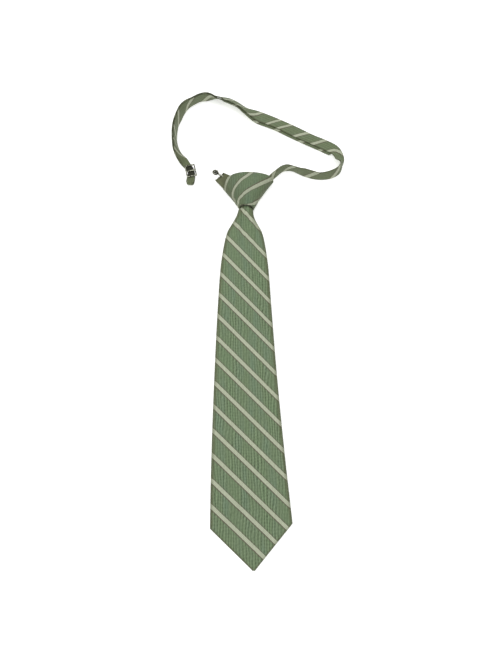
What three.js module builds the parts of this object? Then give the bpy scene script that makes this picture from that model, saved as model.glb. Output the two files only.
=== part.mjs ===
// A ready-tied striped necktie for a child, lying unfastened and face up on a flat surface.
// Millimetres. +Z is up, out of the front of the tie; the blade's point lies towards -Y.
// The origin is under the middle of the whole tie, on the surface that it lies on.
import * as THREE from 'three';

// Blade: a folded cloth shell. Its middle line is a slight bow of one large radius.
const BLADE_WALL = 1.0;
const BLADE_CROWN = 0.5;
const BLADE_BOW = { radius: 4290, x: -12.3, y: 39.7 };
const BLADE_STEP = 14;
const SEAM_GAP = 0.6;
const CORNER_Y = -190.2;
const TIP_Y = -223.3;
const TIP_HALF = 1.0;
const TIP_THICK = 2.6;
const TIP_STEPS = 6;
const VEE_TOP_Y = -161;
const HEM = 3.5;
// A row for each section, from the top inside the knot down to the two corners above the point:
// half is half the width, thick the folded thickness, lift the height of the back over the surface,
// shift how far the pinched neck stands off the bowed middle line.
const BLADE_ROWS = [
  { y: 118, half: 9.6, thick: 4.4, lift: 6.9, shift: 1.6 },
  { y: 111, half: 9.0, thick: 4.6, lift: 6.4, shift: 1.6 },
  { y: 104, half: 7.2, thick: 4.8, lift: 4.6, shift: 1.6 },
  { y: 97, half: 5.4, thick: 4.6, lift: 2.3, shift: 1.3 },
  { y: 90.8, half: 5.1, thick: 4.6, lift: 1.8, shift: 1.3 },
  { y: 89, half: 7.0, thick: 5.5, lift: 1.5, shift: 0.9 },
  { y: 85.5, half: 7.6, thick: 5.5, lift: 1.0, shift: 0.5 },
  { y: 80.5, half: 9.4, thick: 5.1, lift: 0.6, shift: 0.1 },
  { y: 74.5, half: 12.7, thick: 4.6, lift: 0.3, shift: 0 },
  { y: 67.5, half: 16.3, thick: 4.2, lift: 0.1, shift: 0 },
  { y: 55, half: 19.1, thick: 3.9, lift: 0, shift: 0 },
  { y: 32, half: 22.0, thick: 3.7, lift: 0, shift: 0 },
  { y: 0, half: 23.9, thick: 3.6, lift: 0, shift: 0 },
  { y: -68, half: 27.3, thick: 3.6, lift: 0, shift: 0 },
  { y: VEE_TOP_Y, half: 32.1, thick: 3.6, lift: 0, shift: 0 },
  { y: CORNER_Y, half: 33.5, thick: 2.8, lift: 0, shift: 0 },
];
// The rolled side of a section: its reach is the lesser of these shares of the folded thickness and
// of the half width, and its middle point lies at these shares of the reach and of the thickness.
const BLADE_ROLL = { ofThick: 0.55, ofHalf: 0.5, reachAt: 0.25, riseAt: 0.22 };
// Where a section is narrow, its wall and its hem take no more than these shares of the half width.
const BLADE_NARROW = { wall: 0.35, innerRoll: 0.1, hem: 0.8 };
// The points of the front, as shares of its flat half width.
const BLADE_FRONT = [0.8, 0.55, 0.28, 0, -0.28, -0.55, -0.8];
// Beyond the flaps the front settles over this width, and stays this much clear of the back.
const BLADE_SETTLE = { over: 10, clear: 0.2 };

// Knot wrap: a hollow funnel, from the mouth round the blade's neck up to the open rim.
const WRAP_WALL = 1.4;
const WRAP_RIM_BACK_ARCH = 2;
// left and right are the ends of each section; height is its top, edge the height of its two ends;
// arch is how far the front of the section bows up the tie past the line between its ends.
const WRAP_ROWS = [
  { at: 0, leftX: -17.6, leftY: 91.4, rightX: -3.6, rightY: 90.6, height: 8.8, edge: 4.2, arch: 1.2 },
  { at: 0.3, leftX: -23.6, leftY: 100.2, rightX: 1.9, rightY: 100.4, height: 12.4, edge: 4.2, arch: 1.6 },
  { at: 0.6, leftX: -28.6, leftY: 106.4, rightX: 7.8, rightY: 109.2, height: 14.8, edge: 4.4, arch: 3.6 },
  { at: 0.82, leftX: -31.2, leftY: 109.4, rightX: 12.0, rightY: 114.8, height: 15.0, edge: 4.8, arch: 7 },
  { at: 1, leftX: -32.8, leftY: 111.2, rightX: 15.3, rightY: 118.8, height: 12.6, edge: 5.4, arch: 10.6 },
];
const WRAP_SECTIONS = 11;
const WRAP_SIDES = 24;
// Roundness of a section as exponents, where 1 is an ellipse and less is fuller; backDrop is how far
// the back drops for its height before it lies on the surface.
const WRAP_ROUND = { side: 0.9, front: 0.72, back: 0.7, arch: 0.8, backDrop: 1.35 };
// The front bows more towards its left end than towards its right.
const WRAP_LEAN = { right: 0.52, left: 1.24 };

// Knot shoulder: the flat sleeve under the wrap, four corners in plan, mouth first.
const SLEEVE_WALL = 1.0;
const SLEEVE_THICK = 4.3;
const SLEEVE_PLAN = {
  mouthLow: { x: -40.4, y: 122 },
  mouthHigh: { x: -33, y: 129.6 },
  innerLow: { x: -26.9, y: 111.5 },
  innerHigh: { x: -12.5, y: 119.2 },
};
const SLEEVE_LIFT = { mouth: 1.25, inner: 2.0 };
const SLEEVE_SECTIONS = 6;
// The rounded edges: reach is in from the edge, rise a share of the height.
const SLEEVE_ROUND = { reach: 1.2, rise: 0.28 };

// Neck strap: one band that runs out to its end loop and back along itself.
const STRAP_THICK = 1.2;
const LAYER_GAP = 0.3;
const STRAP_STEP = 4.2;
// The last stretch of the run, through the slider, is sampled more finely.
const WEAVE_STEP = 1.1;
const WEAVE_LENGTH = 22;
// Inside the knot the band is lifted, up to the first of these stations, and level from the second.
const KNOT_LIFT = 3.2;
const KNOT_STATIONS = { lifted: 4, level: 8 };
// x and y are the middle of the run in plan; roll turns the band about its length, 0 flat with the
// outer face up, 90 on edge. The band is this wide, but less where a row says that it is bunched, and
// bunch is then the extra thickness.
const STRAP_OPEN = { width: 11.2, bunch: 0 };
const STRAP_ROWS = [
  { x: 1.5, y: 108.5, roll: 10, width: 5, bunch: 0.8 },
  { x: 6.5, y: 116, roll: 20, width: 5, bunch: 0.8 },
  { x: 12, y: 122, roll: 40, width: 5.5, bunch: 0.8 },
  { x: 18, y: 128, roll: 75, width: 8.5, bunch: 0.3 },
  { x: 23, y: 132, roll: 85, width: 10.5 },
  { x: 28.5, y: 133.5, roll: 90 },
  { x: 34, y: 132.5, roll: 95 },
  { x: 40, y: 130, roll: 90 },
  { x: 46, y: 128, roll: 80 },
  { x: 52, y: 126, roll: 80 },
  { x: 58.5, y: 124.5, roll: 85 },
  { x: 65.5, y: 125, roll: 80 },
  { x: 72, y: 127, roll: 75 },
  { x: 78, y: 131, roll: 75 },
  { x: 80.5, y: 137, roll: 75 },
  { x: 79.5, y: 143.5, roll: 30 },
  { x: 78, y: 149.5, roll: 15 },
  { x: 75, y: 155, roll: 5 },
  { x: 67.5, y: 160, roll: 0 },
  { x: 52.5, y: 167, roll: 5 },
  { x: 37.5, y: 175.5, roll: 0 },
  { x: 20, y: 184.5, roll: 5 },
  { x: 4, y: 192, roll: 0 },
  { x: -10, y: 197.5, roll: 35 },
  { x: -16.5, y: 202, roll: 45 },
  { x: -23.5, y: 207, roll: 40 },
  { x: -30, y: 210, roll: 40 },
  { x: -35.5, y: 211.5, roll: 50 },
  { x: -41, y: 212.5, roll: 55 },
  { x: -46, y: 213, roll: 75 },
  { x: -52, y: 213, roll: 90 },
  { x: -58, y: 211.5, roll: 85 },
  { x: -64, y: 208, roll: 85 },
  { x: -70, y: 204, roll: 95 },
  { x: -74.5, y: 198, roll: 105 },
  { x: -77.5, y: 190.5, roll: 105 },
  { x: -80, y: 183, roll: 100 },
  { x: -81, y: 175, roll: 100 },
  { x: -81, y: 166.5, roll: 100 },
  { x: -80, y: 159.5, roll: 105 },
  { x: -78.5, y: 153.5, roll: 115 },
  { x: -76, y: 148, roll: 130, width: 10 },
  { x: -72.5, y: 143.5, roll: 150, width: 9.5 },
  { x: -69, y: 139.5, roll: 180, width: 7.5 },
  { x: -64, y: 131.5, roll: 180, width: 6.5 },
  { x: -63, y: 126.5, roll: 180, width: 7 },
  { x: -63.5, y: 121.5, roll: 180, width: 7.5 },
].map((row) => ({ ...STRAP_OPEN, ...row }));
// The tail's cut end lies under the upper run, the part of the band beyond this y, at this x.
const UPPER_RUN_Y = 138.5;
const TAIL_END_X = 76.3;
// The outgoing layer climbs on to the tail over these stations before the cut end.
const CLIMB_STATIONS = { from: 5, to: 1 };
// The tail shows past the outgoing layer where the band lies flat: cosines of its roll.
const TAIL_SHIFT = 2;
const TAIL_SHIFT_ROLL = { none: 0.5, full: 0.95 };
// The end loop, and its width as shares of the band's at its start and at its turn.
const LOOP_RADIUS = 1.8;
const LOOP_LEAD = 2;
const LOOP_TURN_STEPS = 7;
const LOOP_WIDTH = { start: 0.95, turn: 0.6 };

// Slider: a flat three-bar frame that the band weaves through.
const SLIDER = { x: -64, y: 131.5, heading: -72, length: 13, width: 10, thick: 1.1 };
const SLIDER_BAR = 1.2;
const SLIDER_RAIL = 0.9;
const SLIDER_CORNER = 1.5;
const SLIDER_SLOT_CORNER = 0.5;
const SLIDER_BEVEL = 0.2;
const SLIDER_CLEAR = 0.3;
// Over the middle bar the tail rises by the bar, its own thickness and this clearance. It starts to
// rise this far inside the end bars.
const WEAVE_CLEAR = 0.85;
const WEAVE_INSET = 0.2;

// Hook: one wire, a foot inside the sleeve, a shank and a curled end.
const HOOK_WIRE = 0.65;
const HOOK_CURL = 2.1;
const HOOK_CURL_DEGREES = 280;
const HOOK_CURL_STEPS = 10;
const HOOK_SHANK = 12;
const HOOK_SHANK_END = 1.5;
const HOOK_FOOT = 1.7;
const HOOK_FOOT_LEG = 4;
const HOOK_FOOT_STEPS = 4;
const HOOK_LIFT = 25;
const HOOK_STEPS = 44;
const HOOK_PLACE = { x: -38.5, y: 128.5, z: 3.635, heading: 152 };

const radians = THREE.MathUtils.degToRad;

// A function that gives any column of a table between its rows, without overshoot.
function smoothTable(rows, key) {
  const keys = rows.map((row) => row[key]);
  const rising = keys[keys.length - 1] > keys[0] ? 1 : -1;
  const slope = (i, name) => (rows[i + 1][name] - rows[i][name]) / (keys[i + 1] - keys[i]);
  const tangent = (i, name) => {
    if (i === 0) return slope(0, name);
    if (i === rows.length - 1) return slope(i - 1, name);
    const before = slope(i - 1, name);
    const after = slope(i, name);
    return before * after <= 0 ? 0 : (2 * before * after) / (before + after);
  };
  return (at, name) => {
    let i = 0;
    while (i < rows.length - 2 && (at - keys[i + 1]) * rising > 0) i += 1;
    const span = keys[i + 1] - keys[i];
    const t = THREE.MathUtils.clamp((at - keys[i]) / span, 0, 1);
    const t2 = t * t;
    const t3 = t2 * t;
    return (
      (2 * t3 - 3 * t2 + 1) * rows[i][name] +
      (t3 - 2 * t2 + t) * span * tangent(i, name) +
      (3 * t2 - 2 * t3) * rows[i + 1][name] +
      (t3 - t2) * span * tangent(i + 1, name)
    );
  };
}

// An indexed geometry from points and triangles, turned so that its faces point out.
function solidGeometry(points, triangles) {
  let volume = 0;
  const cross = new THREE.Vector3();
  for (const [a, b, c] of triangles) {
    volume += points[a].dot(cross.crossVectors(points[b], points[c]));
  }
  const facing = volume < 0 ? triangles.map(([a, b, c]) => [a, c, b]) : triangles;
  const geometry = new THREE.BufferGeometry().setFromPoints(points);
  geometry.setIndex(facing.flat());
  geometry.computeVertexNormals();
  return geometry;
}

// Side faces between rings of equal count; each ring closes on itself.
function ringSides(rings, first) {
  const count = rings[0].length;
  const triangles = [];
  for (let i = 0; i < rings.length - 1; i += 1) {
    for (let j = 0; j < count; j += 1) {
      const next = (j + 1) % count;
      const a = first + i * count + j;
      const b = first + i * count + next;
      triangles.push([a, b, b + count], [a, b + count, a + count]);
    }
  }
  return triangles;
}

// A solid through rings, with a cap at each end; capFaces are a cap's triangles in ring order.
function loft(rings, capFaces) {
  const last = (rings.length - 1) * rings[0].length;
  const triangles = ringSides(rings, 0);
  for (const [a, b, c] of capFaces) {
    triangles.push([a, c, b], [last + a, last + b, last + c]);
  }
  return solidGeometry(rings.flat(), triangles);
}

// Cap of a convex ring.
function fanCap(count) {
  return Array.from({ length: count - 2 }, (_, j) => [0, j + 1, j + 2]);
}

// Cap of a folded strip whose ring runs out along one face and back along the other.
function stripCap(count) {
  const faces = [];
  for (let k = 0; k < count / 2 - 1; k += 1) {
    const [a, b] = [count - 1 - k, count - 2 - k];
    faces.push([k, k + 1, b], [k, b, a]);
  }
  return faces;
}

// A tube with a wall: outer and inner rings, joined at both open ends.
function sleeve(outer, inner) {
  const count = outer[0].length;
  const innerFirst = outer.length * count;
  const triangles = ringSides(outer, 0);
  for (const [a, b, c] of ringSides(inner, innerFirst)) triangles.push([a, c, b]);
  const last = (outer.length - 1) * count;
  for (let j = 0; j < count; j += 1) {
    const next = (j + 1) % count;
    triangles.push([j, innerFirst + j, innerFirst + next], [j, innerFirst + next, next]);
    const [a, b] = [last + j, last + next];
    triangles.push([a, b, innerFirst + b], [a, innerFirst + b, innerFirst + a]);
  }
  return solidGeometry([...outer.flat(), ...inner.flat()], triangles);
}

// The blade's middle line at y.
function bladeMiddle(y) {
  return BLADE_BOW.x + (y - BLADE_BOW.y) ** 2 / (2 * BLADE_BOW.radius);
}

// One section of the folded blade, a closed C: outer face from flap to flap, then the inner face back.
function bladeSection(y, half, thick, lift, shift) {
  const middle = bladeMiddle(y) + shift;
  const roll = Math.min(BLADE_ROLL.ofThick * thick, BLADE_ROLL.ofHalf * half);
  const wall = Math.min(BLADE_WALL, BLADE_NARROW.wall * half);
  const innerRoll = Math.max(roll, wall + BLADE_NARROW.innerRoll * half);
  const hem = Math.min(HEM, BLADE_NARROW.hem * half);
  const opening = THREE.MathUtils.mapLinear(y, VEE_TOP_Y, CORNER_Y, SEAM_GAP / 2, half - hem);
  const flapEnd = THREE.MathUtils.clamp(opening, SEAM_GAP / 2, half - hem);
  // The front is crowned, and settles where no flap carries it.
  const crown = (x) => BLADE_CROWN * (1 - (x / half) ** 2);
  const sag = (x) => {
    const loose = THREE.MathUtils.smoothstep(flapEnd - Math.abs(x), 0, BLADE_SETTLE.over);
    return (thick - BLADE_WALL - BLADE_SETTLE.clear) * loose;
  };
  // One flap and its rolled side, from the flap's free edge round to the front.
  const flap = (side, rollX, sideX, low, high) => {
    const turnX = THREE.MathUtils.lerp(sideX, rollX, BLADE_ROLL.reachAt);
    const rise = BLADE_ROLL.riseAt * (high - low);
    return [
      [side * flapEnd, low],
      [(side * (flapEnd + rollX)) / 2, low],
      [side * rollX, low],
      [side * turnX, low + rise],
      [side * sideX, (low + high) / 2],
      [side * turnX, high - rise],
      [side * rollX, high],
    ];
  };
  const face = (rollX, sideX, low, high) => {
    const front = BLADE_FRONT.map((share) => {
      const x = share * rollX;
      return [x, high + crown(x) - sag(x)];
    });
    return [...flap(1, rollX, sideX, low, high), ...front, ...flap(-1, rollX, sideX, low, high).reverse()];
  };
  const outer = face(half - roll, half, lift, lift + thick);
  const inner = face(half - innerRoll, half - wall, lift + BLADE_WALL, lift + thick - BLADE_WALL);
  return [...outer, ...inner.reverse()].map(([x, z]) => new THREE.Vector3(middle + x, y, z));
}

function bladeGeometry() {
  const column = smoothTable(BLADE_ROWS, 'y');
  const sections = [];
  BLADE_ROWS.forEach((row, i) => {
    const next = BLADE_ROWS[i + 1];
    const steps = next ? Math.ceil((row.y - next.y) / BLADE_STEP) : 1;
    for (let k = 0; k < steps; k += 1) {
      const y = next ? THREE.MathUtils.lerp(row.y, next.y, k / steps) : row.y;
      const values = ['half', 'thick', 'lift', 'shift'].map((name) => column(y, name));
      sections.push(bladeSection(y, ...values));
    }
  });
  const corner = BLADE_ROWS[BLADE_ROWS.length - 1];
  for (let k = 1; k <= TIP_STEPS; k += 1) {
    const part = k / TIP_STEPS;
    const y = THREE.MathUtils.lerp(CORNER_Y, TIP_Y, part);
    const half = THREE.MathUtils.lerp(corner.half, TIP_HALF, part);
    const thick = THREE.MathUtils.lerp(corner.thick, TIP_THICK, part);
    sections.push(bladeSection(y, half, thick, 0, 0));
  }
  return loft(sections, stripCap(sections[0].length));
}

// One closed ring round the funnel; inset moves it in by the wall for the inner face.
function wrapRing(column, at, inset) {
  const value = (name) => column(at, name);
  const edge = value('edge');
  const front = value('height') - inset - edge;
  const back = WRAP_ROUND.backDrop * (edge - inset);
  const ring = [];
  for (let i = 0; i < WRAP_SIDES; i += 1) {
    const angle = (2 * Math.PI * (i + 0.5)) / WRAP_SIDES;
    const [c, s] = [Math.cos(angle), Math.sin(angle)];
    // across runs from 0 at the right end to 1 at the left.
    const across = (1 - Math.sign(c) * Math.abs(c) ** WRAP_ROUND.side) / 2;
    const x = THREE.MathUtils.lerp(value('rightX') - inset, value('leftX') + inset, across);
    const y = THREE.MathUtils.lerp(value('rightY'), value('leftY'), across);
    const swell = 2 * Math.sqrt(Math.max(0, across * (1 - across)));
    if (s > 0) {
      const lean = THREE.MathUtils.lerp(WRAP_LEAN.right, WRAP_LEAN.left, across);
      const arch = value('arch') * swell ** WRAP_ROUND.arch * lean;
      ring.push(new THREE.Vector3(x, y + arch, edge + front * s ** WRAP_ROUND.front));
    } else {
      const z = Math.max(inset, edge - back * (-s) ** WRAP_ROUND.back);
      ring.push(new THREE.Vector3(x, y + WRAP_RIM_BACK_ARCH * at * swell, z));
    }
  }
  return ring;
}

function wrapGeometry() {
  const column = smoothTable(WRAP_ROWS, 'at');
  const outer = [];
  const inner = [];
  for (let k = 0; k < WRAP_SECTIONS; k += 1) {
    const at = k / (WRAP_SECTIONS - 1);
    outer.push(wrapRing(column, at, 0));
    inner.push(wrapRing(column, at, WRAP_WALL));
  }
  return sleeve(outer, inner);
}

// A flat tube's ring between two corners in plan, as a rounded oblong.
function sleeveRing(from, to, lift, thick, inset) {
  const across = new THREE.Vector2(to.x - from.x, to.y - from.y);
  const width = across.length();
  across.divideScalar(width);
  const { reach, rise } = SLEEVE_ROUND;
  const [near, far] = [inset, width - inset];
  const middle = width / 2;
  const outline = [
    [near + reach, 0], [middle, 0], [far - reach, 0], [far, rise], [far, 1 - rise],
    [far - reach, 1], [middle, 1], [near + reach, 1], [near, 1 - rise], [near, rise],
  ];
  return outline.map(([along, share]) => {
    const z = lift + inset + share * (thick - 2 * inset);
    return new THREE.Vector3(from.x + across.x * along, from.y + across.y * along, z);
  });
}

function shoulderGeometry() {
  const { mouthLow, mouthHigh, innerLow, innerHigh } = SLEEVE_PLAN;
  const between = (a, b, t) => ({
    x: THREE.MathUtils.lerp(a.x, b.x, t),
    y: THREE.MathUtils.lerp(a.y, b.y, t),
  });
  const outer = [];
  const inner = [];
  for (let k = 0; k < SLEEVE_SECTIONS; k += 1) {
    const t = k / (SLEEVE_SECTIONS - 1);
    const low = between(mouthLow, innerLow, t);
    const high = between(mouthHigh, innerHigh, t);
    const lift = THREE.MathUtils.lerp(SLEEVE_LIFT.mouth, SLEEVE_LIFT.inner, t);
    outer.push(sleeveRing(low, high, lift, SLEEVE_THICK, 0));
    inner.push(sleeveRing(low, high, lift, SLEEVE_THICK, SLEEVE_WALL));
  }
  return sleeve(outer, inner);
}

// The strap's middle run in plan, sampled at even steps with its roll, width and bunching.
function strapRun() {
  const plan = new THREE.CatmullRomCurve3(
    STRAP_ROWS.map((row) => new THREE.Vector3(row.x, row.y, 0)),
    false,
    'centripetal',
  );
  const lengths = [0];
  STRAP_ROWS.slice(1).forEach((row, i) => {
    lengths.push(lengths[i] + Math.hypot(row.x - STRAP_ROWS[i].x, row.y - STRAP_ROWS[i].y));
  });
  const keyed = STRAP_ROWS.map((row, i) => ({ ...row, at: lengths[i] / lengths[lengths.length - 1] }));
  const column = smoothTable(keyed, 'at');
  const total = plan.getLength();
  const weaveFrom = total - WEAVE_LENGTH;
  const run = [];
  for (let far = 0; far <= total; far += far < weaveFrom ? STRAP_STEP : WEAVE_STEP) {
    const at = far / total;
    const middle = plan.getPointAt(at);
    const along = plan.getTangentAt(at);
    const outward = new THREE.Vector3(along.y, -along.x, 0).normalize();
    const roll = radians(column(at, 'roll'));
    const up = new THREE.Vector3(0, 0, 1);
    const across = outward.clone().multiplyScalar(Math.cos(roll)).addScaledVector(up, -Math.sin(roll));
    const face = outward.clone().multiplyScalar(Math.sin(roll)).addScaledVector(up, Math.cos(roll));
    run.push({ middle, across, face, roll, width: column(at, 'width'), bunch: column(at, 'bunch') });
  }
  return run;
}

// How high the band's middle stands when its lowest edge just touches the surface.
function restingHeight(station, thick) {
  const upright = station.width * Math.abs(Math.sin(station.roll));
  return (upright + thick * Math.abs(Math.cos(station.roll))) / 2;
}

// The whole band as stations in order: out to the end loop, round it, and back to the tail end.
function strapPath() {
  const run = strapRun();
  const pairThick = 2 * STRAP_THICK + LAYER_GAP;
  const half = (STRAP_THICK + LAYER_GAP) / 2;
  const tailFrom = run.findIndex((s) => s.middle.y > UPPER_RUN_Y && s.middle.x < TAIL_END_X);
  const climb = [tailFrom - CLIMB_STATIONS.from, tailFrom - CLIMB_STATIONS.to];
  const out = run.map((s, i) => {
    const doubled = THREE.MathUtils.smoothstep(i, ...climb);
    const thick = THREE.MathUtils.lerp(STRAP_THICK + s.bunch, pairThick, doubled);
    const inKnot = 1 - THREE.MathUtils.smoothstep(i, KNOT_STATIONS.lifted, KNOT_STATIONS.level);
    const place = s.middle.clone();
    place.z = restingHeight(s, thick) + inKnot * KNOT_LIFT;
    place.addScaledVector(s.face, half * doubled);
    return { place, across: s.across, width: s.width, thick: STRAP_THICK + s.bunch };
  });
  const slider = new THREE.Vector3(SLIDER.x, SLIDER.y, 0);
  const pitch = SLIDER.length / 2 - SLIDER_BAR - WEAVE_INSET;
  const weave = SLIDER.thick + STRAP_THICK + WEAVE_CLEAR;
  const back = run.slice(tailFrom).map((s) => {
    const past = s.middle.distanceTo(slider);
    const over = past < pitch ? Math.cos((Math.PI / 2) * (past / pitch)) ** 2 : 0;
    const flat = THREE.MathUtils.smoothstep(Math.cos(s.roll), TAIL_SHIFT_ROLL.none, TAIL_SHIFT_ROLL.full);
    const place = s.middle.clone();
    place.z = restingHeight(s, pairThick);
    place.addScaledVector(s.face, -half);
    place.addScaledVector(s.across, -TAIL_SHIFT * flat);
    place.z += weave * over;
    return { place, across: s.across, width: s.width, thick: STRAP_THICK };
  });
  const last = run[run.length - 1];
  const low = out[out.length - 1].place;
  const heading = low.clone().sub(out[out.length - 2].place).setZ(0).normalize();
  const loop = [];
  for (let k = 0; k <= LOOP_TURN_STEPS; k += 1) {
    const angle = (Math.PI * k) / LOOP_TURN_STEPS;
    const place = low.clone().addScaledVector(heading, LOOP_LEAD + LOOP_RADIUS * Math.sin(angle));
    place.z = STRAP_THICK / 2 + LOOP_RADIUS * (1 - Math.cos(angle));
    const share = THREE.MathUtils.lerp(LOOP_WIDTH.start, LOOP_WIDTH.turn, Math.sin(angle));
    loop.push({ place, across: last.across, width: last.width * share, thick: STRAP_THICK });
  }
  return [...out, ...loop, ...back.reverse()];
}

function strapGeometry() {
  const path = strapPath();
  const sections = path.map((station, i) => {
    const before = path[Math.max(0, i - 1)].place;
    const after = path[Math.min(path.length - 1, i + 1)].place;
    const along = after.clone().sub(before).normalize();
    const face = new THREE.Vector3().crossVectors(station.across, along).normalize();
    const [w, t] = [station.width / 2, station.thick / 2];
    const outline = [[-w, 0], [-w + t, t], [w - t, t], [w, 0], [w - t, -t], [-w + t, -t]];
    return outline.map(([a, b]) =>
      station.place.clone().addScaledVector(station.across, a).addScaledVector(face, b),
    );
  });
  return loft(sections, fanCap(sections[0].length));
}

// A rounded oblong path, for the slider's outline and its two slots.
function roundedOblong(path, x, y, width, height, radius) {
  path.moveTo(x + radius, y);
  path.lineTo(x + width - radius, y);
  path.absarc(x + width - radius, y + radius, radius, -Math.PI / 2, 0);
  path.lineTo(x + width, y + height - radius);
  path.absarc(x + width - radius, y + height - radius, radius, 0, Math.PI / 2);
  path.lineTo(x + radius, y + height);
  path.absarc(x + radius, y + height - radius, radius, Math.PI / 2, Math.PI);
  path.lineTo(x, y + radius);
  path.absarc(x + radius, y + radius, radius, Math.PI, 1.5 * Math.PI);
  return path;
}

function sliderGeometry() {
  const { length, width, thick } = SLIDER;
  const edge = SLIDER_BEVEL;
  const frame = roundedOblong(
    new THREE.Shape(),
    -length / 2 + edge,
    -width / 2 + edge,
    length - 2 * edge,
    width - 2 * edge,
    SLIDER_CORNER,
  );
  const slot = (length - 3 * SLIDER_BAR) / 2;
  for (const x of [-length / 2 + SLIDER_BAR, SLIDER_BAR / 2]) {
    const hole = roundedOblong(
      new THREE.Path(),
      x - edge,
      -width / 2 + SLIDER_RAIL - edge,
      slot + 2 * edge,
      width - 2 * SLIDER_RAIL + 2 * edge,
      SLIDER_SLOT_CORNER,
    );
    frame.holes.push(hole);
  }
  const geometry = new THREE.ExtrudeGeometry(frame, {
    depth: thick - 2 * edge,
    bevelThickness: edge,
    bevelSize: edge,
    bevelSegments: 1,
    curveSegments: 3,
  });
  geometry.translate(0, 0, -(thick - 2 * edge) / 2);
  return geometry;
}

// The hook about the end of its shank, which runs along +X: the foot lies flat to the left of it,
// and the curl turns to the right and rises.
function hookGeometry() {
  const rise = radians(HOOK_LIFT);
  const points = [];
  const add = (x, y) => {
    const [reach, height] = y < 0 ? [y * Math.cos(rise), -y * Math.sin(rise)] : [y, 0];
    points.push(new THREE.Vector3(x, reach, height));
  };
  add(-HOOK_SHANK + HOOK_FOOT_LEG, 2 * HOOK_FOOT);
  for (let k = 0; k <= HOOK_FOOT_STEPS; k += 1) {
    const angle = Math.PI / 2 + (Math.PI * k) / HOOK_FOOT_STEPS;
    add(-HOOK_SHANK + HOOK_FOOT * Math.cos(angle), HOOK_FOOT + HOOK_FOOT * Math.sin(angle));
  }
  add(-HOOK_SHANK / 2, 0);
  add(-HOOK_SHANK_END, 0);
  for (let k = 0; k <= HOOK_CURL_STEPS; k += 1) {
    const angle = Math.PI / 2 - (radians(HOOK_CURL_DEGREES) * k) / HOOK_CURL_STEPS;
    add(HOOK_CURL * Math.cos(angle), -HOOK_CURL + HOOK_CURL * Math.sin(angle));
  }
  const section = new THREE.Shape();
  section.absarc(0, 0, HOOK_WIRE, 0, 2 * Math.PI);
  return new THREE.ExtrudeGeometry(section, {
    steps: HOOK_STEPS,
    curveSegments: 4,
    bevelEnabled: false,
    extrudePath: new THREE.CatmullRomCurve3(points, false, 'centripetal'),
  });
}

const cloth = (color) => new THREE.MeshStandardMaterial({ color, roughness: 0.8, metalness: 0 });
const metal = () => new THREE.MeshStandardMaterial({ color: 0xb9b8b0, roughness: 0.25, metalness: 1 });

function named(name, geometry, material) {
  const mesh = new THREE.Mesh(geometry, material);
  mesh.name = name;
  return mesh;
}

const tie = new THREE.Group();
tie.add(named('blade', bladeGeometry(), cloth(0x6f8b67)));
tie.add(named('knot_wrap', wrapGeometry(), cloth(0x6a8560)));
tie.add(named('knot_shoulder', shoulderGeometry(), cloth(0x66694f)));
tie.add(named('neck_strap', strapGeometry(), cloth(0x6c7a55)));

const slider = named('slider', sliderGeometry(), metal());
const layers = 2 * STRAP_THICK + LAYER_GAP;
slider.position.set(SLIDER.x, SLIDER.y, layers + SLIDER_CLEAR + SLIDER.thick / 2);
slider.rotation.z = radians(SLIDER.heading);
tie.add(slider);

const hook = named('hook', hookGeometry(), metal());
hook.position.set(HOOK_PLACE.x, HOOK_PLACE.y, HOOK_PLACE.z);
hook.rotation.z = radians(HOOK_PLACE.heading);
tie.add(hook);

// The origin goes under the middle of the whole tie.
const middle = new THREE.Box3().setFromObject(tie).getCenter(new THREE.Vector3());
tie.position.set(-middle.x, -middle.y, 0);
const centred = new THREE.Group();
centred.add(tie);

export default centred;
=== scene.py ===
"""A child's ready-tied striped necktie, lying face up and unfastened.

The tables are in millimetres, in the frame of the tie's own layout; CENTRE is the middle of the
whole tie there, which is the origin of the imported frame. Blender's metres come in at the last step.
"""

import math

import bpy
import numpy as np
from bpy.props import FloatProperty, FloatVectorProperty, PointerProperty
from mathutils import Matrix, Vector


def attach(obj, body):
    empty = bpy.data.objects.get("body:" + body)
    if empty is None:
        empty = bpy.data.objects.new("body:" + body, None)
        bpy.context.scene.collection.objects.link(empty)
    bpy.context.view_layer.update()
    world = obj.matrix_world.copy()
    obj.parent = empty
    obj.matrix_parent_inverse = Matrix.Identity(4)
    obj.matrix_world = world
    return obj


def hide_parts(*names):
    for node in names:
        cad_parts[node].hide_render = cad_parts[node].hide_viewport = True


bl_info = {
    "name": "Ready-Tied Necktie",
    "version": (1, 0, 0),
    "blender": (4, 5, 0),
    "location": "3D View > Sidebar > Necktie",
    "description": "Builds a child's ready-tied striped necktie with its neck strap, slider and hook",
    "category": "Object",
}

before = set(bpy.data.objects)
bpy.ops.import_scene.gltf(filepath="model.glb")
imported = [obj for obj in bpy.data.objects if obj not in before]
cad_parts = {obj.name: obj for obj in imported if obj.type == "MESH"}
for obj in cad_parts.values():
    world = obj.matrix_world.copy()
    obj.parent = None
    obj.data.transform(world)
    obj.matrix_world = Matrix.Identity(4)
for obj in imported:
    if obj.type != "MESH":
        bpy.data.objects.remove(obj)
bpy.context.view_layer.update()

MM = 0.001
CENTRE = (0.516, -3.465)


def table(columns, *rows):
    """Rows of plain numbers as dicts, by the names of their columns."""
    return [dict(zip(columns, row)) for row in rows]


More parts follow.
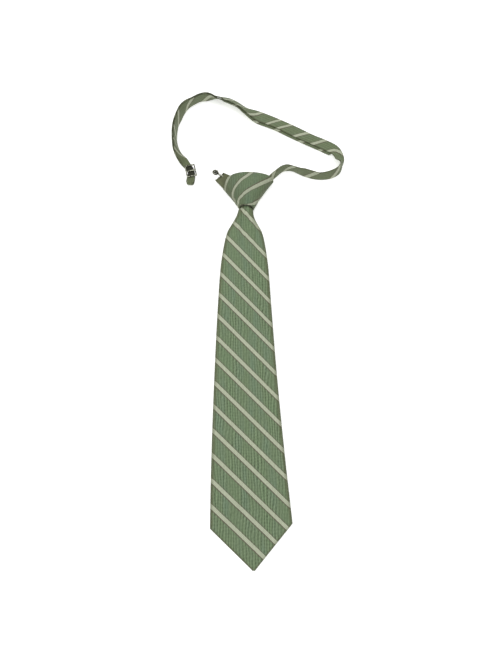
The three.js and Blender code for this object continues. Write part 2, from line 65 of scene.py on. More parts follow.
# The blade
BLADE_WALL = 1.0
BLADE_CROWN = 0.5
BLADE_BOW = {"radius": 4290, "x": -12.3, "y": 39.7}
CORNER_Y = -190.2
CORNER_SKEW = {"rise": 2.0, "from": -130}
TIP_Y = -223.3
TIP_HALF = 1.1
TIP_THICK = 2.6
VEE_TOP_Y = -161
HEM = 3.5
SEAM_GAP = 0.6
BLADE_STEP = 1.7
TIP_STEP = 1.2
BLADE_ROWS = table(
    ("y", "half", "thick", "lift", "shift"),
    (118, 9.6, 4.4, 6.9, 1.6),
    (111, 9.0, 4.6, 6.4, 1.6),
    (104, 7.2, 4.8, 4.6, 1.6),
    (97, 5.4, 4.6, 2.3, 1.3),
    (90.8, 5.1, 4.6, 1.8, 1.3),
    (89, 7.0, 5.5, 1.5, 0.9),
    (85.5, 7.6, 5.5, 1.0, 0.5),
    (80.5, 9.4, 5.1, 0.6, 0.1),
    (74.5, 12.7, 4.6, 0.3, 0),
    (67.5, 16.3, 4.2, 0.1, 0),
    (55, 19.1, 3.9, 0, 0),
    (32, 22.0, 3.7, 0, 0),
    (0, 23.9, 3.6, 0, 0),
    (-68, 27.3, 3.6, 0, 0),
    (VEE_TOP_Y, 32.1, 3.6, 0, 0),
    (CORNER_Y, 33.5, 2.8, 0, 0),
)
# The side fold's depth is a share of its rise, and no more than a share of the way to the middle.
BLADE_ROLL = {"rise": 1.25, "reach": 0.6}
HEM_SHARE = 0.8
FLAP_LEAST = 0.05
FLAP_MOST = 0.9
# Between the flaps the front sags towards the surface: how many walls it keeps, and over what reach.
SAG = {"walls": 1.9, "reach": 10}
# Columns of the folded sheet: across half the front, round a side, and in along a flap.
FRONT_COLUMNS = 26
ROLL_COLUMNS = 8
FLAP_COLUMNS = 12
# How much painted shade darkens the cloth at the front's edges, more at their turn, and on the flaps next to
# them. On the front this starts so far inside the turn and is full so far past it.
BLADE_EDGE_SHADE = {"front": 0.8, "turn": 0.55, "flap": 0.5}
BLADE_EDGE_SHADE_FADE = (1.4, 0.2)
# Waves of the front's soft folds: pulled up to the knot over a stretch of y, and slack all the way.
FOLD_COLUMNS = ("height", "across", "along", "turn")
PULLED_FOLDS = table(FOLD_COLUMNS, (0.6, 0.95, 0, 0.6), (0.42, 0.52, 0, -1.1))
SLACK_FOLDS = table(FOLD_COLUMNS, (0.16, 0.16, 0.021, 0), (0.12, 0.05, 0.06, 1.2))
PULLED_Y = (38, 84)
FOLDS_INSIDE = 0.55
# The ribs are pulled flatter from the blade's middle up, over a stretch of the frame's y in mm, to
# this share of their depth.
FLATTER_Y = (-20, 75)
FLATTER = 0.5
# The stripes cross the line x = 0 from first_y down, and lean so far for each mm across. The spacing
# and the lean are those at first_y and at last_y, and change evenly between them.
BLADE_STRIPES = {"first_y": 52, "last_y": -210, "spacing": (20.6, 19.7), "lean": (1.1, 0.9)}

# The knot
WRAP_WALL = 1.4
WRAP_RIM_BACK_ARCH = 2
WRAP_ROWS = table(
    ("at", "left_x", "left_y", "right_x", "right_y", "height", "edge", "arch"),
    (0, -17.6, 91.4, -3.6, 90.6, 8.8, 4.2, 1.2),
    (0.3, -23.6, 100.2, 1.9, 100.4, 12.4, 4.2, 1.6),
    (0.6, -28.6, 106.4, 7.8, 109.2, 14.8, 4.4, 3.6),
    (0.82, -31.2, 109.4, 12.0, 114.8, 15.0, 4.8, 7),
    (1, -32.8, 111.2, 15.3, 118.8, 12.6, 5.4, 10.6),
)
WRAP_SECTIONS = 60
WRAP_SIDES = 112
WRAP_ROUND = {"side": 0.9, "front": 0.72, "back": 0.7, "arch": 0.8, "back_drop": 1.35}
WRAP_LEAN = {"right": 0.52, "left": 1.28}
WRAP_PLEATS = {"height": 0.45, "across": 26, "turn": 1.3, "fade": (0.8, 0.1)}
WRAP_RIB_STRETCH = 1.1
# How much painted shade darkens the wrap's cloth, and where that fades in: at its sides, its left, its right
# and its top rim. The crease over the blade is painted shade, nearly black in the middle.
WRAP_SHADE = {
    "side": {"worn_and_shaded": 0.85, "fade": (0.55, 0.1)},
    "left": {"worn_and_shaded": 0.6, "fade": (0.5, 0.95)},
    "right": {"worn_and_shaded": 0.35, "fade": (0.3, 0.04)},
    "rim": {"worn_and_shaded": 0.8, "fade": (0.955, 1)},
}
WRAP_CREASE_SHADE = {"ends": 1.1, "middle": 1.9, "swell": (0.25, 0.75), "fade": (0.05, 0.01)}
# The stripes on the knot: the middle line of each from its top down, as seen from the front with a
# lean for the height, and its width at both ends.
KNOT_LEAN = {"share": 0.6, "level": 11}
KNOT_STRIPES = [
    {"width": (2.3, 1.6), "line": [
        (-22.5, 126), (-24.8, 123), (-27, 119), (-28.7, 115), (-30, 110), (-30.4, 106),
    ]},
    {"width": (2.3, 1.5), "line": [
        (-4.5, 126), (-8, 122.6), (-12, 119.6), (-15.5, 116.8), (-18.2, 113.5),
        (-20.6, 110), (-22.4, 106), (-23.2, 102), (-22.8, 99), (-21, 96),
    ]},
    {"width": (3.4, 1.8), "line": [
        (24, 123), (13.5, 118.2), (5, 114), (-2, 110.2), (-9, 106), (-13.5, 102),
        (-16.4, 98.5), (-18, 95), (-18.4, 90),
    ]},
    {"width": (1.8, 1.8), "line": [
        (30, 116), (12, 104), (4, 98), (-0.5, 95), (-4, 92.6), (-9, 91.2), (-14, 90.6),
    ]},
]
# How far to each side of a place a stripe's slope is taken.
SLOPE_REACH = 0.5

SLEEVE_WALL = 1.0
SLEEVE_THICK = 4.3
SLEEVE_PLAN = {
    "mouth_low": (-40.8, 121.6),
    "mouth_high": (-33, 129.6),
    "inner_low": (-29.6, 108.6),
    "inner_high": (-12.5, 119.2),
}
SLEEVE_LIFT = {"mouth": 1.25, "inner": 2.0}
SLEEVE_SET_BACK = 3.6
SLEEVE_SECTIONS = 24
SLEEVE_SIDES = 40
SLEEVE_ROUND = {"across": 0.55, "up": 0.6}
# The sleeve's cloth is darker all over, and less so on a strip near the low edge: where across the sleeve
# the strip starts and ends.
SLEEVE_STRIP = {"start": (0.8, 1.6), "end": (3.4, 2.4)}
SLEEVE_DARKENING = {"cloth": 1.05, "strip": 0.5}
# The sleeve's cloth lies between two stripes.
SLEEVE_STRIPE = {"start": 8.4, "across": 0.1, "inwards": -0.5}

# The neck strap
STRAP_THICK = 1.2
LAYER_GAP = 0.3
STRAP_STEP = 1.4
STRAP_SIDES = 20
KNOT_LIFT = 3.2
KNOT_STRETCH = {"lifted": 14, "level": 30}
STRAP_COLUMNS = ("x", "y", "roll", "width", "bunch")
OPEN_BAND = (11.2, 0)
# A row without a width or a bunch has the open band's.
STRAP_CHART = [
    (1.5, 108.5, 10, 5, 0.8), (6.5, 116, 20, 5, 0.8), (12, 122, 40, 5.5, 0.8), (18, 128, 75, 8.5, 0.3),
    (23, 132, 85, 10.5), (28.5, 133.5, 90), (34, 132.5, 95), (40, 130, 90), (46, 128, 80), (52, 126, 80),
    (58.5, 124.5, 85), (65.5, 125, 80), (72, 127, 75), (78, 131, 75), (80.5, 137, 75), (79.5, 143.5, 30),
    (78, 149.5, 15), (75, 155, 5), (67.5, 160, 0), (52.5, 167, 5), (37.5, 175.5, 0), (20, 184.5, 5),
    (4, 192, 0), (-10, 197.5, 35), (-16.5, 202, 45), (-23.5, 207, 40), (-30, 210, 40), (-35.5, 211.5, 50),
    (-41, 212.5, 55), (-46, 213, 75), (-52, 213, 90), (-58, 211.5, 85), (-64, 208, 85), (-70, 204, 95),
    (-74.5, 198, 105), (-77.5, 190.5, 105), (-80, 183, 100), (-81, 175, 100), (-81, 166.5, 100),
    (-80, 159.5, 105), (-78.5, 153.5, 115), (-76, 148, 130, 10), (-72.5, 143.5, 150, 9.5),
    (-69, 139.5, 180, 7.5), (-64, 131.5, 180, 6.5), (-64, 126.5, 180, 7.5), (-64.5, 121.5, 180, 8),
]
STRAP_ROWS = [dict(zip(STRAP_COLUMNS, row + OPEN_BAND[len(row) - 3 :])) for row in STRAP_CHART]
# How far along the run each stripe crosses the middle line of its layer, in mm: the outgoing layer
# shows as far as the twist at the top, the tail's layer past it. Before the first and past the last
# the stripes go on at an even spacing, up to STRIPES_END. None shows at the end loop.
BAND_STRIPES = {
    "out": (20, 39, 62, 87, 115, 133, 152, 171, 182, 203, 217, 231),
    "back": (135, 155, 183, 206, 230, 255, 277, 297, 314, 328, 337),
}
BAND_SPACING = 20
STRIPES_END = 347
UPPER_RUN_Y = 138.5
TAIL_END_X = 76.3
# Over this stretch before the tail's end the outgoing layer climbs on to the tail's.
CLIMB = {"from": 21, "to": 4}
TAIL_SHIFT = 2
TAIL_SHIFT_ROLL = {"none": 0.5, "full": 0.95}
SPLINE_STEPS = 24
BAND_ROUND = {"across": 0.75, "thick": 0.55}
# How much the band is darkened, and where: with painted shade at its edges, by the share of its half width,
# and where it stands on edge, by the sine of its roll; with wear from handling near the end loop, in mm
# along the run.
BAND_SHADE_AND_WEAR = {
    "edge": {"worn_and_shaded": 1.35, "fade": (0.78, 0.98)},
    "upright": {"worn_and_shaded": 0.6, "fade": (0.4, 0.9)},
    "handled": {"worn_and_shaded": 0.75, "fade": (290, 330)},
}
LOOP_RADIUS = 1.8
LOOP_LEAD = 2
LOOP_TURN_STEPS = 16
LOOP_WIDTH = {"start": 0.95, "turn": 0.6}

# The slider and the hook
SLIDER = {"x": -64.3, "y": 131.5, "heading": -77, "length": 13, "width": 10, "thick": 1.1}
SLIDER_BAR = 1.3
SLIDER_RAIL = 1.1
SLIDER_CLEAR = 0.3
SLIDER_CORNER = 0.9
SLIDER_CORNER_STEPS = 5
SLIDER_ROUND = {"width": 0.38, "steps": 4, "angle": 50}
# The band is painted nearly black under the slider as painted shadow, which fades by how far a place lies
# past its end.
SLIDER_SHADE = {"worn_and_shaded": 2, "fade": (-0.2, -1.2)}

HOOK_WIRE = 0.85
HOOK_CURL = 2.2
HOOK_CURL_X = 2.53
HOOK_CURL_END = 0.75
# Within this radius of the curl's middle the wire is painted nearly black, as painted shade in the eye.
HOOK_EYE = 1.25
HOOK_CURL_DEGREES = 560
HOOK_CURL_START = 205
HOOK_CURL_STEPS = 26
HOOK_COIL = 1.6
# The parts of the curl over which it sinks by HOOK_COIL and closes to HOOK_CURL_END.
HOOK_SINKS = (0.4, 0.9)
HOOK_CLOSES = (0.5, 1)
HOOK_SHANK = 12
HOOK_SHANK_END = 1.0
HOOK_FOOT = 1.7
HOOK_FOOT_LEG = 4
HOOK_FOOT_STEPS = 6
HOOK_LIFT = 12
HOOK_PLACE = {"x": -38.2, "y": 128.0, "z": 4.4, "heading": 148}

# The stage, in metres, with the camera in the tables' millimetres
FLOOR = {"size": 6, "below": 0.0002}
SKY_LOW = (0.05, 0.05, 0.045, 1)
SKY_FADE = (0.2, 0.65)
KEY_LIGHT = {"place": (-0.35, 0.25, 0.9), "size": 0.7}
CAMERA = {"place": (-7.2, -136.275, 431.8), "tilt": 14, "lens": 26.97, "sensor": 36}


def colour_property(name, description, default):
    return FloatVectorProperty(
        name=name, description=description, subtype="COLOR", size=3, min=0, max=1, default=default
    )


def distance_property(name, description, default):
    return FloatProperty(
        name=name, description=description, subtype="DISTANCE", unit="LENGTH", default=default
    )


class NecktieCloth(bpy.types.PropertyGroup):
    """The striped cloth that the blade, the knot and the strap are cut from."""

    ground: colour_property("Ground", "Colour of the ground between the stripes", (0.148, 0.212, 0.132))
    stripe: colour_property("Stripe", "Colour of the diagonal stripes", (0.5, 0.54, 0.4))
    # The colour that painted shade at edges, sides, flaps and creases, and wear from handling, brown the
    # cloth towards.
    worn_and_shaded: colour_property("Edge", "Browner colour of folded and creased edges", (0.1, 0.105, 0.05))
    # Colour of the painted shade along both sides of each raised stripe.
    stripe_edge_shade: colour_property("Border", "Brown of the fine lines beside a stripe", (0.12, 0.095, 0.07))
    pitch: distance_property("Stripe pitch", "Distance from one stripe to the next", 0.0144)
    width: distance_property("Stripe width", "Width of one stripe", 0.0027)
    rib: distance_property("Rib pitch", "Distance from one rib of the weave to the next", 0.0024)


class NecktieMetal(bpy.types.PropertyGroup):
    """The plated metal of the slider and the hook."""

    plating: colour_property("Plating", "Colour of the bright plating", (0.36, 0.37, 0.29))
    roughness: FloatProperty(
        name="Roughness", description="How dull the plating is",
        min=0, max=1, default=0.16,
    )


class NecktieStage(bpy.types.PropertyGroup):
    """The floor and the lights."""

    floor: colour_property("Floor", "Colour of the floor", (0.93, 0.93, 0.93))
    glow: FloatProperty(
        name="Glow", description="How much light the floor gives, as a light table", min=0, default=0.5,
    )
    sky: FloatProperty(
        name="Sky", description="Strength of the even light from above", min=0, default=0.96,
    )
    key: FloatProperty(
        name="Key light", description="Power of the large soft light",
        subtype="POWER", unit="POWER", min=0, default=1.8,
    )


def smooth_table(rows, key):
    """A function that gives any column of a table between its rows, without overshoot."""
    keys = [row[key] for row in rows]
    rising = 1 if keys[-1] > keys[0] else -1

    def slope(i, name):
        return (rows[i + 1][name] - rows[i][name]) / (keys[i + 1] - keys[i])

    def tangent(i, name):
        if i == 0:
            return slope(0, name)
        if i == len(rows) - 1:
            return slope(i - 1, name)
        before, after = slope(i - 1, name), slope(i, name)
        return 0 if before * after <= 0 else 2 * before * after / (before + after)

    def column(at, name):
        i = 0
        while i < len(rows) - 2 and (at - keys[i + 1]) * rising > 0:
            i += 1
        span = keys[i + 1] - keys[i]
        t = min(max((at - keys[i]) / span, 0), 1)
        return (
            (2 * t**3 - 3 * t**2 + 1) * rows[i][name]
            + (t**3 - 2 * t**2 + t) * span * tangent(i, name)
            + (3 * t**2 - 2 * t**3) * rows[i + 1][name]
            + (t**3 - t**2) * span * tangent(i + 1, name)
        )

    return column


def smoothstep(value, low, high):
    """0 up to low, 1 from high on, and an even curve between them; low may be the greater."""
    t = min(max((value - low) / (high - low), 0), 1)
    return t * t * (3 - 2 * t)


def mark_strength(mark, value):
    """How strongly a mark darkens a place, by painted shade or by wear, where it fades in over a stretch of
    the value.
    """
    return mark["worn_and_shaded"] * smoothstep(value, *mark["fade"])


def lerp(a, b, t):
    return a + (b - a) * t


def bent(value, power):
    """A sine or cosine raised to a power with its sign kept, which squares or rounds a section."""
    return math.copysign(abs(value) ** power, value)


def to_frame(x, y, z):
    """A place in the tables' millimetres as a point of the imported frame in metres."""
    return Vector(((x - CENTRE[0]) * MM, (y - CENTRE[1]) * MM, z * MM))


def once_round(sides):
    """Cosine and sine at even steps once round a section, from its lowest place back to it."""
    for i in range(sides + 1):
        angle = 2 * math.pi * i / sides - math.pi / 2
        yield math.cos(angle), math.sin(angle)


def added(name, shape, **settings):
    """Adds one of Blender's own shapes under a name, with nothing else selected."""
    bpy.ops.object.select_all(action="DESELECT")
    shape(**settings)
    piece = bpy.context.active_object
    piece.name = piece.data.name = name
    return piece


def grid_spot(vertex, columns, rows):
    """The column and the row of a plain grid that a vertex stands in."""
    return round((vertex.co.x + 0.5) * columns), round((vertex.co.y + 0.5) * rows)


def only(piece):
    """Makes a piece the one that operators act on."""
    bpy.ops.object.select_all(action="DESELECT")
    bpy.context.view_layer.objects.active = piece
    piece.select_set(True)


def apply_modifier(piece, kind, **settings):
    """Adds a modifier, sets it and applies it."""
    only(piece)
    modifier = piece.modifiers.new(kind.title(), kind)
    for name, value in settings.items():
        setattr(modifier, name, value)
    bpy.ops.object.modifier_apply(modifier=modifier.name)


def cloth_grid(name, sections):
    """A grid laid through sections of (x, y, z, rib, stripe, darkening), all in mm but the last.

    rib runs across the ribs and stripe across the stripes; they are kept as the piece's UV map.
    The darkening, kept as an attribute, is 0 on open cloth and 1 where the cloth is fully darkened, by
    painted shade at edges, sides, flaps and creases and by wear from handling; at 2 painted shade makes
    the cloth nearly black.
    """
    rows, columns = len(sections) - 1, len(sections[0]) - 1
    grid = bpy.ops.mesh.primitive_grid_add
    piece = added(name, grid, x_subdivisions=columns, y_subdivisions=rows, size=1)
    mesh = piece.data
    if len(mesh.vertices) != (rows + 1) * (columns + 1):
        raise RuntimeError(f"{name}: the grid has {len(mesh.vertices)} points")
    values = []
    for vertex in mesh.vertices:
        column, row = grid_spot(vertex, columns, rows)
        values.append(sections[row][column])
    # The attribute of painted shade and wear that the material reads.
    folds = mesh.attributes.new("shade_and_wear", "FLOAT", "POINT")
    for vertex, value in zip(mesh.vertices, values):
        vertex.co = to_frame(*value[:3])
        folds.data[vertex.index].value = value[5]
    uv = mesh.uv_layers.active or mesh.uv_layers.new()
    uv.name = "cloth"
    for loop in mesh.loops:
        value = values[loop.vertex_index]
        uv.data[loop.index].uv = (value[3] * MM, value[4] * MM)
    return piece


def close_tube(piece, cap=False):
    """Joins a rolled-up grid's two long edges, and closes its ends if asked."""
    only(piece)
    bpy.ops.object.mode_set(mode="EDIT")
    bpy.ops.mesh.select_all(action="SELECT")
    bpy.ops.mesh.remove_doubles(threshold=0.00001)
    if cap:
        bpy.ops.mesh.select_all(action="DESELECT")
        bpy.ops.mesh.select_mode(type="EDGE")
        bpy.ops.mesh.select_non_manifold(extend=False)
        bpy.ops.mesh.fill_holes(sides=0)
    bpy.ops.mesh.select_all(action="SELECT")
    bpy.ops.mesh.normals_make_consistent(inside=False)
    bpy.ops.mesh.select_mode(type="VERT")
    bpy.ops.object.mode_set(mode="OBJECT")


def make_outward(piece):
    """Turns all faces outwards if the closed mesh is inside out."""
    mesh = piece.data
    mesh.calc_loop_triangles()
    volume = 0
    for triangle in mesh.loop_triangles:
        a, b, c = (mesh.vertices[i].co for i in triangle.vertices)
        volume += a.dot(b.cross(c))
    if volume < 0:
        mesh.flip_normals()


def cloth_shell(name, sections, wall, rolled=True):
    """A closed shell of cloth, laid through the sections of its middle surface."""
    piece = cloth_grid(name, sections)
    if rolled:
        close_tube(piece)
    apply_modifier(piece, "SOLIDIFY", thickness=wall * MM, offset=0, use_rim=True)
    make_outward(piece)
    return piece


def finish_piece(piece, slot, material, *nodes, smooth=60):
    """Gives a finished piece its material, smooth faces and its place in the frame."""
    piece.data.materials.clear()
    piece.data.materials.append(material)
    only(piece)
    bpy.ops.object.shade_smooth_by_angle(angle=math.radians(smooth))
    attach(piece, "root")
    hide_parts(*nodes)


# The materials, in metres; a scale says how many grains there are to the metre each way.
FIBRES = {"scale": (1500, 1500), "ragged": 0.0006}
THREADS = {"scale": (1400, 420), "detail": 2.0, "roughness": 0.6}
WANDER = {"scale": (70, 45), "reach": 0.006}
RIB_PATCHES = {"scale": (60, 24), "fade": (0.35, 0.65, 0.4, 1.15)}
COLOUR_PATCHES = {"scale": (110, 26), "green": (0.42, 0.7, 0.0, 0.55), "olive": (0.3, 0.58, 0.0, 0.5)}
STRIPE_SOFT = 0.0001
# Where the painted shade beside a stripe fades out, and how deep it is on either side.
STRIPE_SHADE_FADE = (0.0006, 0.0013)
STRIPE_SHADE_SHARES = (0.75, 0.42)
INNER_LINE = {"start": (0.0002, 0.0004), "end": (0.0006, 0.0009)}
BEAD_PITCH = 0.0019
TWILL_PITCH = 0.00055
FINE_RIBS = 2.63
# Shares of the ribs, the fine ribs and the beads; and of the ribs, the threads and the twill.
RIB_SHARES = (0.6, 0.3, 0.3)
LIGHT_SHARES = (0.52, 0.9, 0.05)
# Deep and light shares of the ground's colour, and of the stripe's.
GROUND_SHADES = {
    "plain": ((0.42, 0.5, 0.4), (1.6, 1.55, 1.6)),
    "green": ((0.34, 0.55, 0.42), (1.25, 1.7, 1.6)),
    "olive": ((0.55, 0.48, 0.34), (1.75, 1.5, 1.2)),
}
STRIPE_SHADES = ((0.8, 0.8, 0.78), (1.14, 1.14, 1.14))
SPECKLE = 1.8
OLIVE_SHADE = (1.6, 1.5, 1.5)
# Near-black colour of the painted shade in the knot's crease and under the slider, as shares of the edge
# colour.
CREASE_SHADE = (0.12, 0.12, 0.12)
# Shares with which painted shade and wear brown the ground, the stripes and their inner line, and the depth
# of the near-black painted shade.
SHADE_AND_WEAR_SHARES = {"ground": 0.62, "stripe": 0.35, "inner": 0.22, "deep_shade": 0.9}
# Heights of the ribs, the threads, the twill and the line beside a stripe.
RELIEF = (0.00008, 0.00005, 0.000012, -0.00004)
CLOTH_ROUGH = (0.2, 0.8, 0.62, 0.78)
# Patches of painted dark reflection on the plating, and how dark they are painted.
DARK_REFLECTION_SPOTS = {"scale": 700.0, "detail": 3.0, "roughness": 0.6, "fade": (0.42, 0.62)}
DARK_REFLECTION_SHADE = (0.08, 0.08, 0.07)
HANDLING_MARKS = {"scale": (900, 4200, 900), "fade": (0.3, 0.8), "rougher": 0.2}


class Nodes:
    """Short ways to add and join a material's nodes."""

    def __init__(self, material):
        material.use_nodes = True
        self.tree = material.node_tree
        self.tree.nodes.clear()

    def add(self, kind, **settings):
        node = self.tree.nodes.new(kind)
        for name, value in settings.items():
            setattr(node, name, value)
        return node

    def put(self, socket, value):
        if isinstance(value, bpy.types.NodeSocket):
            self.tree.links.new(value, socket)
        else:
            socket.default_value = value

    def filled(self, node, **values):
        """Puts values on a node's sockets by name, with _ for a space, and gives its first output."""
        for name, value in values.items():
            self.put(node.inputs[name.replace("_", " ")], value)
        return node.outputs[0]

    def math(self, operation, *values):
        node = self.add("ShaderNodeMath", operation=operation)
        for socket, value in zip(node.inputs, values):
            self.put(socket, value)
        return node.outputs[0]

    def plus(self, a, b):
        return self.math("ADD", a, b)

    def minus(self, a, b):
        return self.math("SUBTRACT", a, b)

    def times(self, a, b):
        return self.math("MULTIPLY", a, b)

    def weighed(self, shares, *values):
        """The sum of values, each times its own share."""
        total, *rest = (self.times(value, share) for value, share in zip(values, shares))
        for part in rest:
            total = self.plus(total, part)
        return total

    def wave(self, place, pitch):
        return self.math("SINE", self.times(place, 2 * math.pi / pitch))

    def fade(self, value, low, high, start=0.0, end=1.0):
        node = self.add("ShaderNodeMapRange", interpolation_type="SMOOTHSTEP")
        return self.filled(node, Value=value, From_Min=low, From_Max=high, To_Min=start, To_Max=end)

    def mix(self, factor, a, b, blend="MIX"):
        node = self.add("ShaderNodeMix", data_type="RGBA", blend_type=blend)
        self.put(node.inputs[0], factor)
        self.put(node.inputs[6], a)
        self.put(node.inputs[7], b)
        return node.outputs[2]

    def noise(self, vector, scale=1.0, detail=2.0, roughness=0.5):
        node = self.add("ShaderNodeTexNoise")
        return self.filled(node, Vector=vector, Scale=scale, Detail=detail, Roughness=roughness)

    def stretch(self, vector, x, y, z=1.0):
        return self.filled(self.add("ShaderNodeMapping"), Vector=vector, Scale=(x, y, z))

    def split(self, vector):
        node = self.add("ShaderNodeSeparateXYZ")
        self.put(node.inputs[0], vector)
        return node.outputs

    def place(self, kind):
        return self.add("ShaderNodeTexCoord").outputs[kind]

    def attribute(self, name):
        return self.add("ShaderNodeAttribute", attribute_name=name).outputs["Fac"]

    def surface(self, **values):
        """Ends a material in a shader with these values."""
        shader = self.filled(self.add("ShaderNodeBsdfPrincipled"), **values)
        self.put(self.add("ShaderNodeOutputMaterial").inputs["Surface"], shader)

    def bump(self, height, strength, distance):
        return self.filled(self.add("ShaderNodeBump"), Strength=strength, Distance=distance, Height=height)


def props_colour(colour):
    """A property's colour with the alpha that a node wants."""
    return tuple(colour) + (1,)


def shaded(colour, by):
    """A property's colour made deeper or lighter."""
    return tuple(min(c * share, 1) for c, share in zip(colour, by)) + (1,)


def stripe_marks(n, cloth, stripe_at, props):
    """The stripes, the painted shade along both sides of each raised stripe, deeper on one side, and the
    fine line inside, from 0 to 1.
    """
    turns = n.math("DIVIDE", stripe_at, props.pitch)
    past = n.times(n.minus(turns, n.math("ROUND", turns)), props.pitch)
    ragged = n.times(n.minus(n.noise(n.stretch(cloth, *FIBRES["scale"])), 0.5), FIBRES["ragged"])
    distance = n.plus(n.math("ABSOLUTE", past), ragged)
    half = props.width / 2
    start = half - STRIPE_SOFT
    stripe = n.fade(distance, start, half + 2 * STRIPE_SOFT, 1.0, 0.0)
    near = n.fade(distance, start, half + STRIPE_SOFT)
    stripe_edge_shade = n.times(near, n.fade(distance, half + STRIPE_SHADE_FADE[0], half + STRIPE_SHADE_FADE[1], 1.0, 0.0))
    stripe_edge_shade = n.times(stripe_edge_shade, n.fade(past, -2 * STRIPE_SOFT, 2 * STRIPE_SOFT, *STRIPE_SHADE_SHARES))
    inner = n.times(n.fade(distance, *INNER_LINE["start"]), n.fade(distance, *INNER_LINE["end"], 1.0, 0.0))
    return stripe, stripe_edge_shade, inner


def ribbing(n, cloth, rib_at, stripe_at, props):
    """The ribs from deep to high: uneven, a little wavy, and beaded by the crossing threads."""
    wander = n.times(n.minus(n.noise(n.stretch(cloth, *WANDER["scale"]), detail=3.0), 0.5), WANDER["reach"])
    across = n.plus(rib_at, wander)
    rib = n.wave(across, props.rib)
    fine = n.wave(across, props.rib / FINE_RIBS)
    bead = n.wave(n.plus(stripe_at, n.times(wander, 2.0)), BEAD_PITCH)
    ribs = n.weighed(RIB_SHARES, rib, fine, n.times(bead, rib))
    strength = n.fade(n.noise(n.stretch(cloth, *RIB_PATCHES["scale"])), *RIB_PATCHES["fade"])
    upward = n.split(n.place("Object"))[1]
    flatter = n.fade(upward, FLATTER_Y[0] * MM, FLATTER_Y[1] * MM, 1.0, FLATTER)
    return n.times(ribs, n.times(strength, flatter))


def ground_colour(n, cloth, light, props):
    """The ground, from deep to light across the ribs, greener or more olive in long patches."""
    shades = {
        name: n.mix(light, shaded(props.ground, deep), shaded(props.ground, pale))
        for name, (deep, pale) in GROUND_SHADES.items()
    }
    patch = n.noise(n.stretch(cloth, *COLOUR_PATCHES["scale"]), detail=3.0)
    ground = shades["plain"]
    for name in ("green", "olive"):
        ground = n.mix(n.fade(patch, *COLOUR_PATCHES[name]), ground, shades[name])
    return ground


def striped_cloth(name, props, rib_strength=1.0, olive=0.0, tone=1.0):
    """Ribbed cloth with diagonal stripes, read from the piece's own cloth map."""
    material = bpy.data.materials.new(name)
    n = Nodes(material)
    cloth = n.add("ShaderNodeUVMap", uv_map="cloth").outputs[0]
    rib_at, stripe_at, _ = n.split(cloth)
    stripe, stripe_edge_shade, inner = stripe_marks(n, cloth, stripe_at, props)
    rib = ribbing(n, cloth, rib_at, stripe_at, props)
    threads = n.stretch(cloth, *THREADS["scale"])
    thread = n.noise(threads, detail=THREADS["detail"], roughness=THREADS["roughness"])
    uneven = n.minus(thread, 0.5)
    twill = n.wave(n.plus(rib_at, stripe_at), TWILL_PITCH)

    ribs = n.times(rib, rib_strength)
    light = n.plus(0.5, n.weighed(LIGHT_SHARES, ribs, uneven, twill))
    ground = ground_colour(n, cloth, light, props)
    ground = n.mix(olive, ground, shaded(props.worn_and_shaded, OLIVE_SHADE))
    speckle = n.plus(n.times(uneven, SPECKLE), 0.5)
    cream = n.mix(speckle, *(shaded(props.stripe, shade) for shade in STRIPE_SHADES))

    # The painted shade and the wear from handling brown the ground, and the stripes less; past 1 the
    # attribute paints shade nearly black, in the knot's crease and under the slider.
    worn_and_shaded = props_colour(props.worn_and_shaded)
    shade_and_wear = n.attribute("shade_and_wear")
    folded = n.math("MINIMUM", shade_and_wear, 1.0)
    cream = n.mix(n.times(inner, SHADE_AND_WEAR_SHARES["inner"]), cream, worn_and_shaded)
    cream = n.mix(n.times(n.times(folded, folded), SHADE_AND_WEAR_SHARES["stripe"]), cream, worn_and_shaded)
    # Painted shade along both sides of each stripe.
    colour = n.mix(stripe_edge_shade, ground, props_colour(props.stripe_edge_shade))
    colour = n.mix(n.times(folded, SHADE_AND_WEAR_SHARES["ground"]), colour, worn_and_shaded)
    colour = n.mix(stripe, colour, cream)
    colour = n.mix(1.0, colour, (tone, tone, tone, 1), "MULTIPLY")
    # Painted shade, nearly black, in the knot's crease and under the slider.
    deep_shade = n.fade(shade_and_wear, 1.0, 2.0, 0.0, SHADE_AND_WEAR_SHARES["deep_shade"])
    colour = n.mix(deep_shade, colour, shaded(props.worn_and_shaded, CREASE_SHADE))

    height = n.weighed(RELIEF, ribs, thread, twill, stripe_edge_shade)
    n.surface(
        Base_Color=colour, Roughness=n.fade(thread, *CLOTH_ROUGH), Specular_IOR_Level=0.35,
        Sheen_Weight=0.12, Sheen_Roughness=0.45, Sheen_Tint=(0.8, 0.85, 0.75, 1),
        Normal=n.bump(height, strength=0.6, distance=1.0),
    )
    return material


def plated_metal(name, props):
    """Bright plating with fine handling marks, painted much darker in patches as painted reflections of dark
    surroundings, and in the hook's eye as painted shade.
    """
    material = bpy.data.materials.new(name)
    n = Nodes(material)
    place = n.place("Object")
    # Patches of painted dark reflection, joined with the painted shade in the hook's eye.
    dull = n.noise(place, DARK_REFLECTION_SPOTS["scale"], DARK_REFLECTION_SPOTS["detail"], DARK_REFLECTION_SPOTS["roughness"])
    dark_reflection = n.math("MAXIMUM", n.fade(dull, *DARK_REFLECTION_SPOTS["fade"]), n.attribute("eye_shade"))
    colour = n.mix(dark_reflection, props_colour(props.plating), shaded(props.plating, DARK_REFLECTION_SHADE))
    marks = n.noise(n.stretch(place, *HANDLING_MARKS["scale"]))
    roughness = (props.roughness, props.roughness + HANDLING_MARKS["rougher"])
    n.surface(
        Base_Color=colour, Metallic=1.0, Roughness=n.fade(marks, *HANDLING_MARKS["fade"], *roughness),
        Normal=n.bump(marks, strength=0.15, distance=0.00005),
    )
    return material


def cloth_material(name, **settings):
    """The named cloth material, made once."""
    found = bpy.data.materials.get(name)
    return found or striped_cloth(name, bpy.context.scene.necktie_cloth, **settings)


def metal_material():
    found = bpy.data.materials.get("plated metal")
    return found or plated_metal("plated metal", bpy.context.scene.necktie_metal)


# The blade


